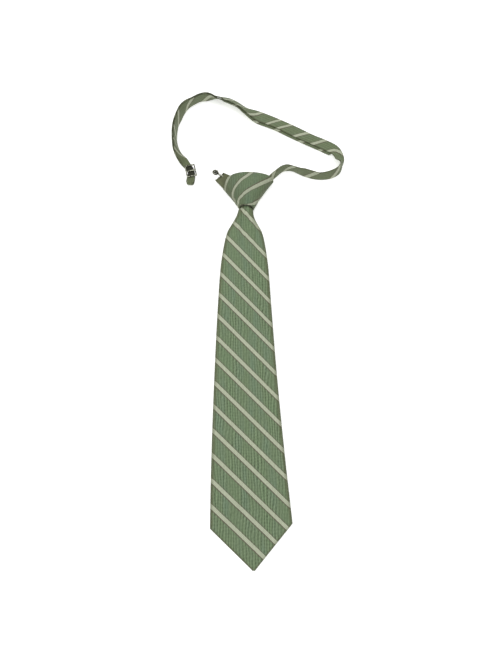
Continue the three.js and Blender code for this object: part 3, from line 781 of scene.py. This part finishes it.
def blade_middle(y):
    """x of the blade's middle line at y."""
    return BLADE_BOW["x"] + (y - BLADE_BOW["y"]) ** 2 / (2 * BLADE_BOW["radius"])


def blade_stripe(x, y):
    """The stripe coordinate of the blade's cloth at a place on its front, in mm."""
    first, last = BLADE_STRIPES["first_y"], BLADE_STRIPES["last_y"]
    lean_first, lean_last = BLADE_STRIPES["lean"]
    change = (lean_first - lean_last) / (first - last)
    crossing = (y + x * (lean_first - change * first)) / (1 - change * x)
    down = (first - crossing) / (first - last)
    spacing = lerp(*BLADE_STRIPES["spacing"], down / 2)
    return (crossing - first) / spacing * bpy.context.scene.necktie_cloth.pitch / MM


def waves(rows, x, y):
    """The height of a table of waves at a place."""
    return sum(
        row["height"] * math.sin(row["across"] * x + row["along"] * y + row["turn"]) for row in rows
    )


def blade_relief(x, y, half):
    """Soft folds of the front: deep where it is gathered into the knot, faint lower down."""
    inside = 1 - smoothstep(abs(x) / half, FOLDS_INSIDE, 1)
    return (smoothstep(y, *PULLED_Y) * waves(PULLED_FOLDS, x, y) + waves(SLACK_FOLDS, x, y)) * inside


def corner_skew(y):
    """How much higher the right edge lies than the middle, because the point is folded askew."""
    if y > CORNER_Y:
        return CORNER_SKEW["rise"] * smoothstep(CORNER_SKEW["from"] - y, 0, CORNER_SKEW["from"] - CORNER_Y)
    return CORNER_SKEW["rise"] * (y - TIP_Y) / (CORNER_Y - TIP_Y)


def blade_section(y, half, thick, lift, shift):
    """The folded sheet's middle surface at y, from the left flap's free edge to the right one's."""
    middle = blade_middle(y) + shift
    low = lift + BLADE_WALL / 2
    high = lift + thick - BLADE_WALL / 2
    reach = half - BLADE_WALL / 2
    rise = (high - low) / 2
    roll = min(BLADE_ROLL["rise"] * rise, BLADE_ROLL["reach"] * reach)
    flat = reach - roll
    hem = min(HEM, HEM_SHARE * half)
    opening = lerp(SEAM_GAP / 2, half - hem, (VEE_TOP_Y - y) / (VEE_TOP_Y - CORNER_Y))
    flap_end = min(max(opening, SEAM_GAP / 2), max(half - hem, FLAP_LEAST), FLAP_MOST * flat)
    turn = math.pi * (roll + rise) / 2
    side = []
    for k in range(FRONT_COLUMNS):
        x = flat * k / FRONT_COLUMNS
        sag = (thick - SAG["walls"] * BLADE_WALL) * smoothstep(flap_end - x, 0, SAG["reach"])
        crown = BLADE_CROWN * (1 - (x / half) ** 2)
        # Painted shade towards the front's edges, deeper round their turn and on the flaps.
        edge = smoothstep(x, flat - BLADE_EDGE_SHADE_FADE[0], flat + BLADE_EDGE_SHADE_FADE[1])
        side.append((x, high + crown - sag, x, BLADE_EDGE_SHADE["front"] * edge))
    for k in range(ROLL_COLUMNS):
        turned = k / ROLL_COLUMNS
        around = math.sin(math.pi * turned)
        z = (high + low) / 2 + rise * math.cos(math.pi * turned)
        crown = BLADE_CROWN * (1 - (flat / half) ** 2) * (1 - turned)
        worn_and_shaded = BLADE_EDGE_SHADE["front"] + BLADE_EDGE_SHADE["turn"] * around
        side.append((flat + roll * around, z + crown, flat + turn * turned, worn_and_shaded))
    for k in range(FLAP_COLUMNS + 1):
        x = lerp(flat, flap_end, k / FLAP_COLUMNS)
        side.append((x, low, 2 * flat + turn - x, BLADE_EDGE_SHADE["flap"] * (1 - k / FLAP_COLUMNS)))
    points = []
    for sign, order in ((-1, reversed(side)), (1, side[1:])):
        for x, z, across, worn_and_shaded in order:
            relief = blade_relief(sign * x, y, half) if z > (high + low) / 2 else 0
            cloth_x = middle + sign * across
            here = y + corner_skew(y) * sign * x / half
            stripe = blade_stripe(cloth_x, here)
            points.append((middle + sign * x, here, z + relief, cloth_x, stripe, worn_and_shaded))
    return points


def blade_sections():
    column = smooth_table(BLADE_ROWS, "y")
    sections = []
    top = BLADE_ROWS[0]["y"]
    steps = round((top - CORNER_Y) / BLADE_STEP)
    for k in range(steps):
        y = lerp(top, CORNER_Y, k / steps)
        shape = (column(y, name) for name in ("half", "thick", "lift", "shift"))
        sections.append(blade_section(y, *shape))
    steps = round((CORNER_Y - TIP_Y) / TIP_STEP)
    corner = BLADE_ROWS[-1]
    for k in range(steps + 1):
        t = k / steps
        half, thick = lerp(corner["half"], TIP_HALF, t), lerp(corner["thick"], TIP_THICK, t)
        sections.append(blade_section(lerp(CORNER_Y, TIP_Y, t), half, thick, 0, 0))
    return sections


class NECKTIE_OT_blade(bpy.types.Operator):
    """The folded front blade, from its neck inside the knot to its point"""

    bl_idname = "necktie.blade"
    bl_label = "Blade"

    def execute(self, context):
        piece = cloth_shell("tie_blade", blade_sections(), BLADE_WALL, rolled=False)
        finish_piece(piece, "tie_cloth", cloth_material("tie cloth", tone=1.06), "blade")
        return {"FINISHED"}


# The knot


def stripe_side(stripe, x, y):
    """How far a place lies to the right of a stripe's middle line, and half the stripe's width there."""
    rows = [{"y": row[1], "x": row[0]} for row in stripe["line"]]
    column = smooth_table(rows, "y")
    slope = (column(y + SLOPE_REACH, "x") - column(y - SLOPE_REACH, "x")) / (2 * SLOPE_REACH)
    down = smoothstep(rows[0]["y"] - y, 0, rows[0]["y"] - rows[-1]["y"])
    return (x - column(y, "x")) / math.hypot(1, slope), lerp(*stripe["width"], down) / 2


def knot_stripe(x, y, z):
    """The stripe coordinate of the knot's cloth at a place, in mm."""
    props = bpy.context.scene.necktie_cloth
    y += KNOT_LEAN["share"] * (z - KNOT_LEAN["level"])
    half = props.width / props.pitch / 2
    sides = [stripe_side(stripe, x, y) for stripe in KNOT_STRIPES]
    places, numbers = [], []
    for number, (past, reach) in enumerate(sides, start=1):
        places += [-past - reach, -past + reach]
        numbers += [number - half, number + half]
    beyond = min(-places[0], 0) + max(-places[-1], 0)
    number = np.interp(0, np.maximum.accumulate(places), numbers) + beyond * MM / props.pitch
    return number * props.pitch / MM


def wrap_ring(column, at):
    """One closed ring of the wrap's middle surface, first and last point in one place."""
    left_x, left_y = column(at, "left_x"), column(at, "left_y")
    right_x, right_y = column(at, "right_x"), column(at, "right_y")
    inset = WRAP_WALL / 2
    edge = column(at, "edge")
    front = column(at, "height") - inset - edge
    back = WRAP_ROUND["back_drop"] * (edge - inset)
    pleats = WRAP_PLEATS["height"] * smoothstep(at, *WRAP_PLEATS["fade"])
    in_crease = smoothstep(at, *WRAP_CREASE_SHADE["fade"])
    ring = []
    for c, s in once_round(WRAP_SIDES):
        across = (1 - bent(c, WRAP_ROUND["side"])) / 2
        x = lerp(right_x - inset, left_x + inset, across)
        y = lerp(right_y, left_y, across)
        swell = 2 * math.sqrt(max(0, across * (1 - across)))
        if s > 0:
            lean = lerp(WRAP_LEAN["right"], WRAP_LEAN["left"], across)
            y += column(at, "arch") * swell ** WRAP_ROUND["arch"] * lean
            z = edge + front * s ** WRAP_ROUND["front"]
            z += pleats * swell * math.sin(WRAP_PLEATS["across"] * across + WRAP_PLEATS["turn"])
        else:
            y += WRAP_RIM_BACK_ARCH * at * swell
            z = max(inset, edge - back * (-s) ** WRAP_ROUND["back"])
        # Painted shade at the wrap's sides, left, right and top rim, and in the crease over the blade.
        worn_and_shaded = mark_strength(WRAP_SHADE["side"], abs(s))
        worn_and_shaded += mark_strength(WRAP_SHADE["left"], across) + mark_strength(WRAP_SHADE["right"], across)
        deep_shade = lerp(WRAP_CREASE_SHADE["ends"], WRAP_CREASE_SHADE["middle"], smoothstep(swell, *WRAP_CREASE_SHADE["swell"]))
        dark = deep_shade * in_crease + mark_strength(WRAP_SHADE["rim"], at)
        ring.append((x, y, z, WRAP_RIB_STRETCH * x, knot_stripe(x, y, z), max(min(worn_and_shaded, 1), dark)))
    return ring


class NECKTIE_OT_knot_wrap(bpy.types.Operator):
    """The cloth wrapped round the front of the knot"""

    bl_idname = "necktie.knot_wrap"
    bl_label = "Knot wrap"

    def execute(self, context):
        column = smooth_table(WRAP_ROWS, "at")
        rings = [wrap_ring(column, k / (WRAP_SECTIONS - 1)) for k in range(WRAP_SECTIONS)]
        piece = cloth_shell("tie_knot_wrap", rings, WRAP_WALL)
        material = cloth_material("knot cloth", rib_strength=0.72, tone=0.94)
        finish_piece(piece, "tie_cloth", material, "knot_wrap")
        return {"FINISHED"}


def sleeve_ring(at):
    """One closed ring of the shoulder's middle surface."""
    plan = SLEEVE_PLAN
    low = [lerp(a, b, at) for a, b in zip(plan["mouth_low"], plan["inner_low"])]
    high = [lerp(a, b, at) for a, b in zip(plan["mouth_high"], plan["inner_high"])]
    lift = lerp(SLEEVE_LIFT["mouth"], SLEEVE_LIFT["inner"], at)
    inset = SLEEVE_WALL / 2
    across = Vector((high[0] - low[0], high[1] - low[1]))
    width = across.length
    across.normalize()
    ring = []
    for c, s in once_round(SLEEVE_SIDES):
        u, v = bent(c, SLEEVE_ROUND["across"]), bent(s, SLEEVE_ROUND["up"])
        set_back = SLEEVE_SET_BACK * max(v, 0) * (1 - at)
        along = width / 2 + (width / 2 - inset) * u
        x = low[0] + across.x * along + across.y * set_back
        y = low[1] + across.y * along - across.x * set_back
        z = lift + SLEEVE_THICK / 2 + (SLEEVE_THICK / 2 - inset) * v
        strip = smoothstep(along, *SLEEVE_STRIP["start"]) * smoothstep(along, *SLEEVE_STRIP["end"])
        worn_and_shaded = lerp(SLEEVE_DARKENING["cloth"], SLEEVE_DARKENING["strip"], strip)
        stripe = SLEEVE_STRIPE["start"] + SLEEVE_STRIPE["across"] * along + SLEEVE_STRIPE["inwards"] * at
        ring.append((x, y, z, along, stripe, worn_and_shaded))
    return ring


class NECKTIE_OT_knot_shoulder(bpy.types.Operator):
    """The flat sleeve under the wrap that comes out at the knot's left and holds the hook"""

    bl_idname = "necktie.knot_shoulder"
    bl_label = "Knot shoulder"

    def execute(self, context):
        rings = [sleeve_ring(k / (SLEEVE_SECTIONS - 1)) for k in range(SLEEVE_SECTIONS)]
        piece = cloth_shell("tie_knot_shoulder", rings, SLEEVE_WALL)
        material = cloth_material("shoulder cloth", rib_strength=1.0, olive=0.7)
        finish_piece(piece, "tie_cloth", material, "knot_shoulder")
        return {"FINISHED"}


# The neck strap


def chord_shares(rows):
    """The share of the way from row to row at which each row lies."""
    lengths = [0]
    for a, b in zip(rows, rows[1:]):
        lengths.append(lengths[-1] + math.hypot(b["x"] - a["x"], b["y"] - a["y"]))
    return [length / lengths[-1] for length in lengths]


def spline_points(rows, step):
    """Even stations along a smooth line through the rows: place, heading and share of the way."""
    knots = [np.array((row["x"], row["y"])) for row in rows]
    ghost = [2 * knots[0] - knots[1], *knots, 2 * knots[-1] - knots[-2]]
    fine, shares, chords = [], [], chord_shares(rows)
    for i in range(len(knots) - 1):
        p0, p1, p2, p3 = ghost[i : i + 4]
        t1 = np.linalg.norm(p1 - p0) ** 0.5
        t2 = t1 + np.linalg.norm(p2 - p1) ** 0.5
        t3 = t2 + np.linalg.norm(p3 - p2) ** 0.5
        for t in np.linspace(t1, t2, SPLINE_STEPS, endpoint=i == len(knots) - 2):
            a1 = lerp(p0, p1, t / t1)
            part = (t - t1) / (t2 - t1)
            a2 = lerp(p1, p2, part)
            a3 = lerp(p2, p3, (t - t2) / (t3 - t2))
            b1, b2 = lerp(a1, a2, t / t2), lerp(a2, a3, (t - t1) / (t3 - t1))
            fine.append(lerp(b1, b2, part))
            shares.append(lerp(chords[i], chords[i + 1], part))
    fine, shares = np.array(fine), np.array(shares)
    far = np.concatenate(([0], np.cumsum(np.linalg.norm(np.diff(fine, axis=0), axis=1))))
    count = round(far[-1] / step)
    places = np.linspace(0, far[-1], count + 1)
    x, y = np.interp(places, far, fine[:, 0]), np.interp(places, far, fine[:, 1])
    heading = np.arctan2(np.gradient(y), np.gradient(x))
    return [
        {"far": f, "x": a, "y": b, "heading": h, "share": s}
        for f, a, b, h, s in zip(places, x, y, heading, np.interp(places, far, shares))
    ]


def strap_run():
    """Stations along the outgoing run, with the band's own directions at each."""
    keyed = [{**row, "share": share} for row, share in zip(STRAP_ROWS, chord_shares(STRAP_ROWS))]
    column = smooth_table(keyed, "share")
    run = []
    for station in spline_points(STRAP_ROWS, STRAP_STEP):
        h = station["heading"]
        outward = Vector((math.sin(h), -math.cos(h), 0))
        up = Vector((0, 0, 1))
        roll = math.radians(column(station["share"], "roll"))
        run.append({
            "far": station["far"],
            "middle": Vector((station["x"], station["y"], 0)),
            "roll": roll,
            "across": outward * math.cos(roll) - up * math.sin(roll),
            "face": outward * math.sin(roll) + up * math.cos(roll),
            "width": column(station["share"], "width"),
            "bunch": column(station["share"], "bunch"),
        })
    return run


def resting_height(station, thick):
    """How high the band's middle stands when its lowest edge touches the surface."""
    upright = station["width"] * abs(math.sin(station["roll"]))
    return (upright + thick * abs(math.cos(station["roll"]))) / 2


def slider_shadow(place):
    """How much painted shadow darkens the band under the slider, and 0 outside it."""
    away = (place - Vector((SLIDER["x"], SLIDER["y"], 0))).length
    return mark_strength(SLIDER_SHADE, away - SLIDER["length"] / 2)


def strap_path():
    """The whole band: out to the end loop, round it, and back to the tail's cut end."""
    run = strap_run()
    pair = 2 * STRAP_THICK + LAYER_GAP
    half = (STRAP_THICK + LAYER_GAP) / 2
    first = next(
        i for i, s in enumerate(run) if s["middle"].y > UPPER_RUN_Y and s["middle"].x < TAIL_END_X
    )
    tail_far = run[first]["far"]
    path = []
    for s in run:
        doubled = smoothstep(s["far"], tail_far - CLIMB["from"], tail_far - CLIMB["to"])
        thick = STRAP_THICK + s["bunch"]
        in_knot = 1 - smoothstep(s["far"], KNOT_STRETCH["lifted"], KNOT_STRETCH["level"])
        place = s["middle"].copy()
        place.z = resting_height(s, lerp(thick, pair, doubled)) + in_knot * KNOT_LIFT
        place += s["face"] * half * doubled
        path.append({**s, "place": place, "thick": thick, "layer": "out", "run_far": s["far"]})
    last = {**path[-1], "layer": "back"}
    heading = last["place"] - path[-2]["place"]
    heading.z = 0
    heading.normalize()
    far = last["far"]
    for k in range(1, LOOP_TURN_STEPS + 1):
        angle = math.pi * k / LOOP_TURN_STEPS
        place = last["place"] + heading * (LOOP_LEAD + LOOP_RADIUS * math.sin(angle))
        place.z = STRAP_THICK / 2 + LOOP_RADIUS * (1 - math.cos(angle))
        share = lerp(LOOP_WIDTH["start"], LOOP_WIDTH["turn"], math.sin(angle))
        width = last["width"] * share
        far += math.pi * LOOP_RADIUS / LOOP_TURN_STEPS
        path.append({**last, "far": far, "place": place, "width": width, "thick": STRAP_THICK})
    for s in reversed(run[first:]):
        flat = smoothstep(math.cos(s["roll"]), TAIL_SHIFT_ROLL["none"], TAIL_SHIFT_ROLL["full"])
        place = s["middle"].copy()
        place.z = resting_height(s, pair)
        place -= s["face"] * half
        place -= s["across"] * TAIL_SHIFT * flat
        back_far = far + last["far"] - s["far"]
        path.append({
            **s, "far": back_far, "place": place, "thick": STRAP_THICK, "layer": "back", "run_far": s["far"]
        })
    return path


def band_stripe(station, a, half, front):
    """The stripe coordinate at a place on the band, in mm, counted round it from the face that shows."""
    side = a if front else math.copysign(2 * half - abs(a), a)
    places = BAND_STRIPES[station["layer"]]
    at = station["run_far"] + (side if station["layer"] == "out" else -side)
    number = np.interp(at, places, range(len(places)))
    number += (min(at - places[0], 0) + max(min(at, STRIPES_END) - places[-1], 0)) / BAND_SPACING
    return number * bpy.context.scene.necktie_cloth.pitch / MM


def strap_sections():
    """Closed rings round the band, all along its path."""
    path = strap_path()
    sections = []
    for i, s in enumerate(path):
        before = path[max(0, i - 1)]["place"]
        after = path[min(len(path) - 1, i + 1)]["place"]
        face = s["across"].cross((after - before).normalized()).normalized()
        # Painted shade where the band stands on edge and towards its edges, wear from handling, and painted
        # shadow under the slider.
        upright = mark_strength(BAND_SHADE_AND_WEAR["upright"], abs(math.sin(s["roll"])))
        worn_and_shaded = max(upright, mark_strength(BAND_SHADE_AND_WEAR["handled"], s["run_far"]), slider_shadow(s["middle"]))
        w, t = s["width"] / 2, s["thick"] / 2
        ring = []
        for c, sn in once_round(STRAP_SIDES):
            front = sn >= 0
            a, b = w * bent(c, BAND_ROUND["across"]), t * bent(sn, BAND_ROUND["thick"])
            rib = a if front else math.copysign(2 * w - abs(a), a)
            shade_and_wear = max(worn_and_shaded, mark_strength(BAND_SHADE_AND_WEAR["edge"], abs(a) / w))
            ring.append((*(s["place"] + s["across"] * a + face * b), rib, band_stripe(s, a, w, front), shade_and_wear))
        sections.append(ring)
    return sections


class NECKTIE_OT_strap(bpy.types.Operator):
    """The neck strap, one band out to its end loop and back along itself"""

    bl_idname = "necktie.strap"
    bl_label = "Neck strap"

    def execute(self, context):
        piece = cloth_grid("tie_strap", strap_sections())
        close_tube(piece, cap=True)
        make_outward(piece)
        material = cloth_material("strap cloth", rib_strength=1.4, olive=0.3, tone=1.02)
        finish_piece(piece, "strap_cloth", material, "neck_strap")
        length = round(strap_path()[-1]["far"])
        return {"FINISHED"}


# The slider and the hook


def set_down(piece, x, y, z, heading):
    """Turns a piece modelled about the origin and moves it to its place, all in its mesh."""
    turn = Matrix.Rotation(math.radians(heading), 3, "Z")
    lead = to_frame(x, y, z)
    for vertex in piece.data.vertices:
        vertex.co = turn @ vertex.co + lead


def select_parts(piece, kind, wanted):
    """Goes to edit mode with just the wanted faces or vertices of a piece selected."""
    bpy.ops.object.mode_set(mode="EDIT")
    bpy.ops.mesh.select_mode(type=kind)
    bpy.ops.mesh.select_all(action="DESELECT")
    bpy.ops.object.mode_set(mode="OBJECT")
    parts = piece.data.polygons if kind == "FACE" else piece.data.vertices
    for part in parts:
        part.select = wanted(part)
    bpy.ops.object.mode_set(mode="EDIT")


class NECKTIE_OT_slider(bpy.types.Operator):
    """The flat slider with three bars"""

    bl_idname = "necktie.slider"
    bl_label = "Slider"

    def execute(self, context):
        length, width = SLIDER["length"] * MM, SLIDER["width"] * MM
        bar, rail = SLIDER_BAR * MM, SLIDER_RAIL * MM
        across = [-length / 2, -length / 2 + bar, -bar / 2, bar / 2, length / 2 - bar, length / 2]
        up = [-width / 2, -width / 2 + rail, width / 2 - rail, width / 2]
        columns, rows = len(across) - 1, len(up) - 1
        grid = bpy.ops.mesh.primitive_grid_add
        piece = added("tie_slider", grid, x_subdivisions=columns, y_subdivisions=rows, size=1)
        for vertex in piece.data.vertices:
            column, row = grid_spot(vertex, columns, rows)
            vertex.co = (across[column], up[row], 0)

        def in_slot(face):
            return abs(face.center.y) < up[2] and bar / 2 < abs(face.center.x) < across[4]

        def at_corner(vertex):
            return abs(vertex.co.x) > (across[4] + across[5]) / 2 and abs(vertex.co.y) > (up[2] + up[3]) / 2

        select_parts(piece, "FACE", in_slot)
        bpy.ops.mesh.delete(type="FACE")
        bpy.ops.object.mode_set(mode="OBJECT")
        select_parts(piece, "VERT", at_corner)
        bpy.ops.mesh.bevel(offset=SLIDER_CORNER * MM, segments=SLIDER_CORNER_STEPS, affect="VERTICES")
        bpy.ops.object.mode_set(mode="OBJECT")
        apply_modifier(piece, "SOLIDIFY", thickness=SLIDER["thick"] * MM, offset=0)
        apply_modifier(
            piece, "BEVEL", width=SLIDER_ROUND["width"] * MM, segments=SLIDER_ROUND["steps"],
            limit_method="ANGLE", angle_limit=math.radians(SLIDER_ROUND["angle"]),
        )
        make_outward(piece)
        height = 2 * STRAP_THICK + LAYER_GAP + SLIDER_CLEAR + SLIDER["thick"] / 2
        set_down(piece, SLIDER["x"], SLIDER["y"], height, SLIDER["heading"])
        finish_piece(piece, "metal", metal_material(), "slider", smooth=40)
        return {"FINISHED"}


def hook_line():
    """Points along the hook's wire, about the end of its shank, which runs along +X."""
    rise = math.radians(HOOK_LIFT)
    plan = [(-HOOK_SHANK + HOOK_FOOT_LEG, 2 * HOOK_FOOT)]
    for k in range(HOOK_FOOT_STEPS + 1):
        angle = math.pi / 2 + math.pi * k / HOOK_FOOT_STEPS
        plan.append((-HOOK_SHANK + HOOK_FOOT * math.cos(angle), HOOK_FOOT + HOOK_FOOT * math.sin(angle)))
    plan += [(-HOOK_SHANK / 2, 0), (-HOOK_SHANK_END, 0)]
    for k in range(HOOK_CURL_STEPS + 1):
        angle = math.radians(HOOK_CURL_START + HOOK_CURL_DEGREES * k / HOOK_CURL_STEPS)
        part = k / HOOK_CURL_STEPS
        coil = -HOOK_COIL * smoothstep(part, *HOOK_SINKS)
        radius = lerp(HOOK_CURL, HOOK_CURL_END, smoothstep(part, *HOOK_CLOSES))
        plan.append((HOOK_CURL_X + radius * math.cos(angle), radius * math.sin(angle), coil))
    line = []
    for x, y, *coil in plan:
        tilt = rise if x > 0 else 0
        up = coil[0] if coil else 0
        line.append(Vector((x, y * math.cos(tilt), y * math.sin(tilt) + up)))
    return line


class NECKTIE_OT_hook(bpy.types.Operator):
    """The wire hook, its foot inside the shoulder and its curl outside"""

    bl_idname = "necktie.hook"
    bl_label = "Hook"

    def execute(self, context):
        line = hook_line()
        piece = added("tie_hook", bpy.ops.curve.primitive_nurbs_path_add)
        curve = piece.data
        curve.splines.clear()
        spline = curve.splines.new("BEZIER")
        spline.bezier_points.add(len(line) - 1)
        for point, place in zip(spline.bezier_points, line):
            point.co = place * MM
            point.handle_left_type = point.handle_right_type = "AUTO"
        curve.bevel_depth = HOOK_WIRE * MM
        curve.bevel_resolution = 4
        curve.resolution_u = 5
        curve.use_fill_caps = True
        bpy.ops.object.convert(target="MESH")
        piece = context.active_object
        close_tube(piece)
        make_outward(piece)
        # Painted shade: the wire inside the eye is painted nearly black.
        eye_shade = piece.data.attributes.new("eye_shade", "FLOAT", "POINT")
        for vertex in piece.data.vertices:
            inside = math.hypot(vertex.co.x / MM - HOOK_CURL_X, vertex.co.y / MM) < HOOK_EYE
            eye_shade.data[vertex.index].value = float(inside)
        set_down(piece, **HOOK_PLACE)
        finish_piece(piece, "metal", metal_material(), "hook", smooth=40)
        return {"FINISHED"}


# The stage


class NECKTIE_OT_stage(bpy.types.Operator):
    """The pale floor, the soft light and the camera"""

    bl_idname = "necktie.stage"
    bl_label = "Stage"

    def execute(self, context):
        props = context.scene.necktie_stage
        plane = bpy.ops.mesh.primitive_plane_add
        floor = added("floor", plane, size=FLOOR["size"], location=(0, 0, -FLOOR["below"]))
        material = bpy.data.materials.new("pale floor")
        Nodes(material).surface(
            Base_Color=props_colour(props.floor), Roughness=0.9, Specular_IOR_Level=0.1,
            Emission_Color=(1, 1, 1, 1), Emission_Strength=props.glow,
        )
        floor.data.materials.append(material)

        world = bpy.data.worlds.new("soft sky")
        context.scene.world = world
        n = Nodes(world)
        height = n.split(n.place("Generated"))[2]
        colour = n.mix(n.fade(height, *SKY_FADE), SKY_LOW, (1, 1, 1, 1))
        sky = n.filled(n.add("ShaderNodeBackground"), Color=colour, Strength=props.sky)
        n.put(n.add("ShaderNodeOutputWorld").inputs["Surface"], sky)

        key = added("key light", bpy.ops.object.light_add, type="AREA", location=KEY_LIGHT["place"])
        key.data.shape = "DISK"
        key.data.size = KEY_LIGHT["size"]
        key.data.energy = props.key
        key.rotation_euler = (-key.location).to_track_quat("-Z", "Y").to_euler()

        camera = added("camera", bpy.ops.object.camera_add, location=to_frame(*CAMERA["place"]))
        camera.rotation_euler = (math.radians(CAMERA["tilt"]), 0, 0)
        camera.data.lens = CAMERA["lens"]
        camera.data.sensor_width = CAMERA["sensor"]
        camera.data.clip_start = 0.01
        context.scene.camera = camera
        context.scene.view_settings.view_transform = "Standard"
        return {"FINISHED"}


class NECKTIE_PT_panel(bpy.types.Panel):
    """Lists the steps that build the necktie."""

    bl_idname = "NECKTIE_PT_panel"
    bl_label = "Necktie"
    bl_space_type = "VIEW_3D"
    bl_region_type = "UI"
    bl_category = "Necktie"

    def draw(self, context):
        scene = context.scene
        for operator in OPERATORS:
            self.layout.operator(operator.bl_idname)
        for group in (scene.necktie_cloth, scene.necktie_metal, scene.necktie_stage):
            for name in group.bl_rna.properties.keys():
                if name not in ("rna_type", "name"):
                    self.layout.prop(group, name)


OPERATORS = (
    NECKTIE_OT_blade,
    NECKTIE_OT_knot_wrap,
    NECKTIE_OT_knot_shoulder,
    NECKTIE_OT_strap,
    NECKTIE_OT_slider,
    NECKTIE_OT_hook,
    NECKTIE_OT_stage,
)
GROUPS = {"necktie_cloth": NecktieCloth, "necktie_metal": NecktieMetal, "necktie_stage": NecktieStage}


def register():
    for group in GROUPS.values():
        bpy.utils.register_class(group)
    for name, group in GROUPS.items():
        setattr(bpy.types.Scene, name, PointerProperty(type=group))
    for operator in OPERATORS:
        bpy.utils.register_class(operator)
    bpy.utils.register_class(NECKTIE_PT_panel)


def unregister():
    bpy.utils.unregister_class(NECKTIE_PT_panel)
    for operator in reversed(OPERATORS):
        bpy.utils.unregister_class(operator)
    for name, group in GROUPS.items():
        delattr(bpy.types.Scene, name)
        bpy.utils.unregister_class(group)


def main():
    register()
    bpy.ops.necktie.blade()
    bpy.ops.necktie.knot_wrap()
    bpy.ops.necktie.knot_shoulder()
    bpy.ops.necktie.strap()
    bpy.ops.necktie.slider()
    bpy.ops.necktie.hook()
    bpy.ops.necktie.stage()


if __name__ == "__main__":
    main()
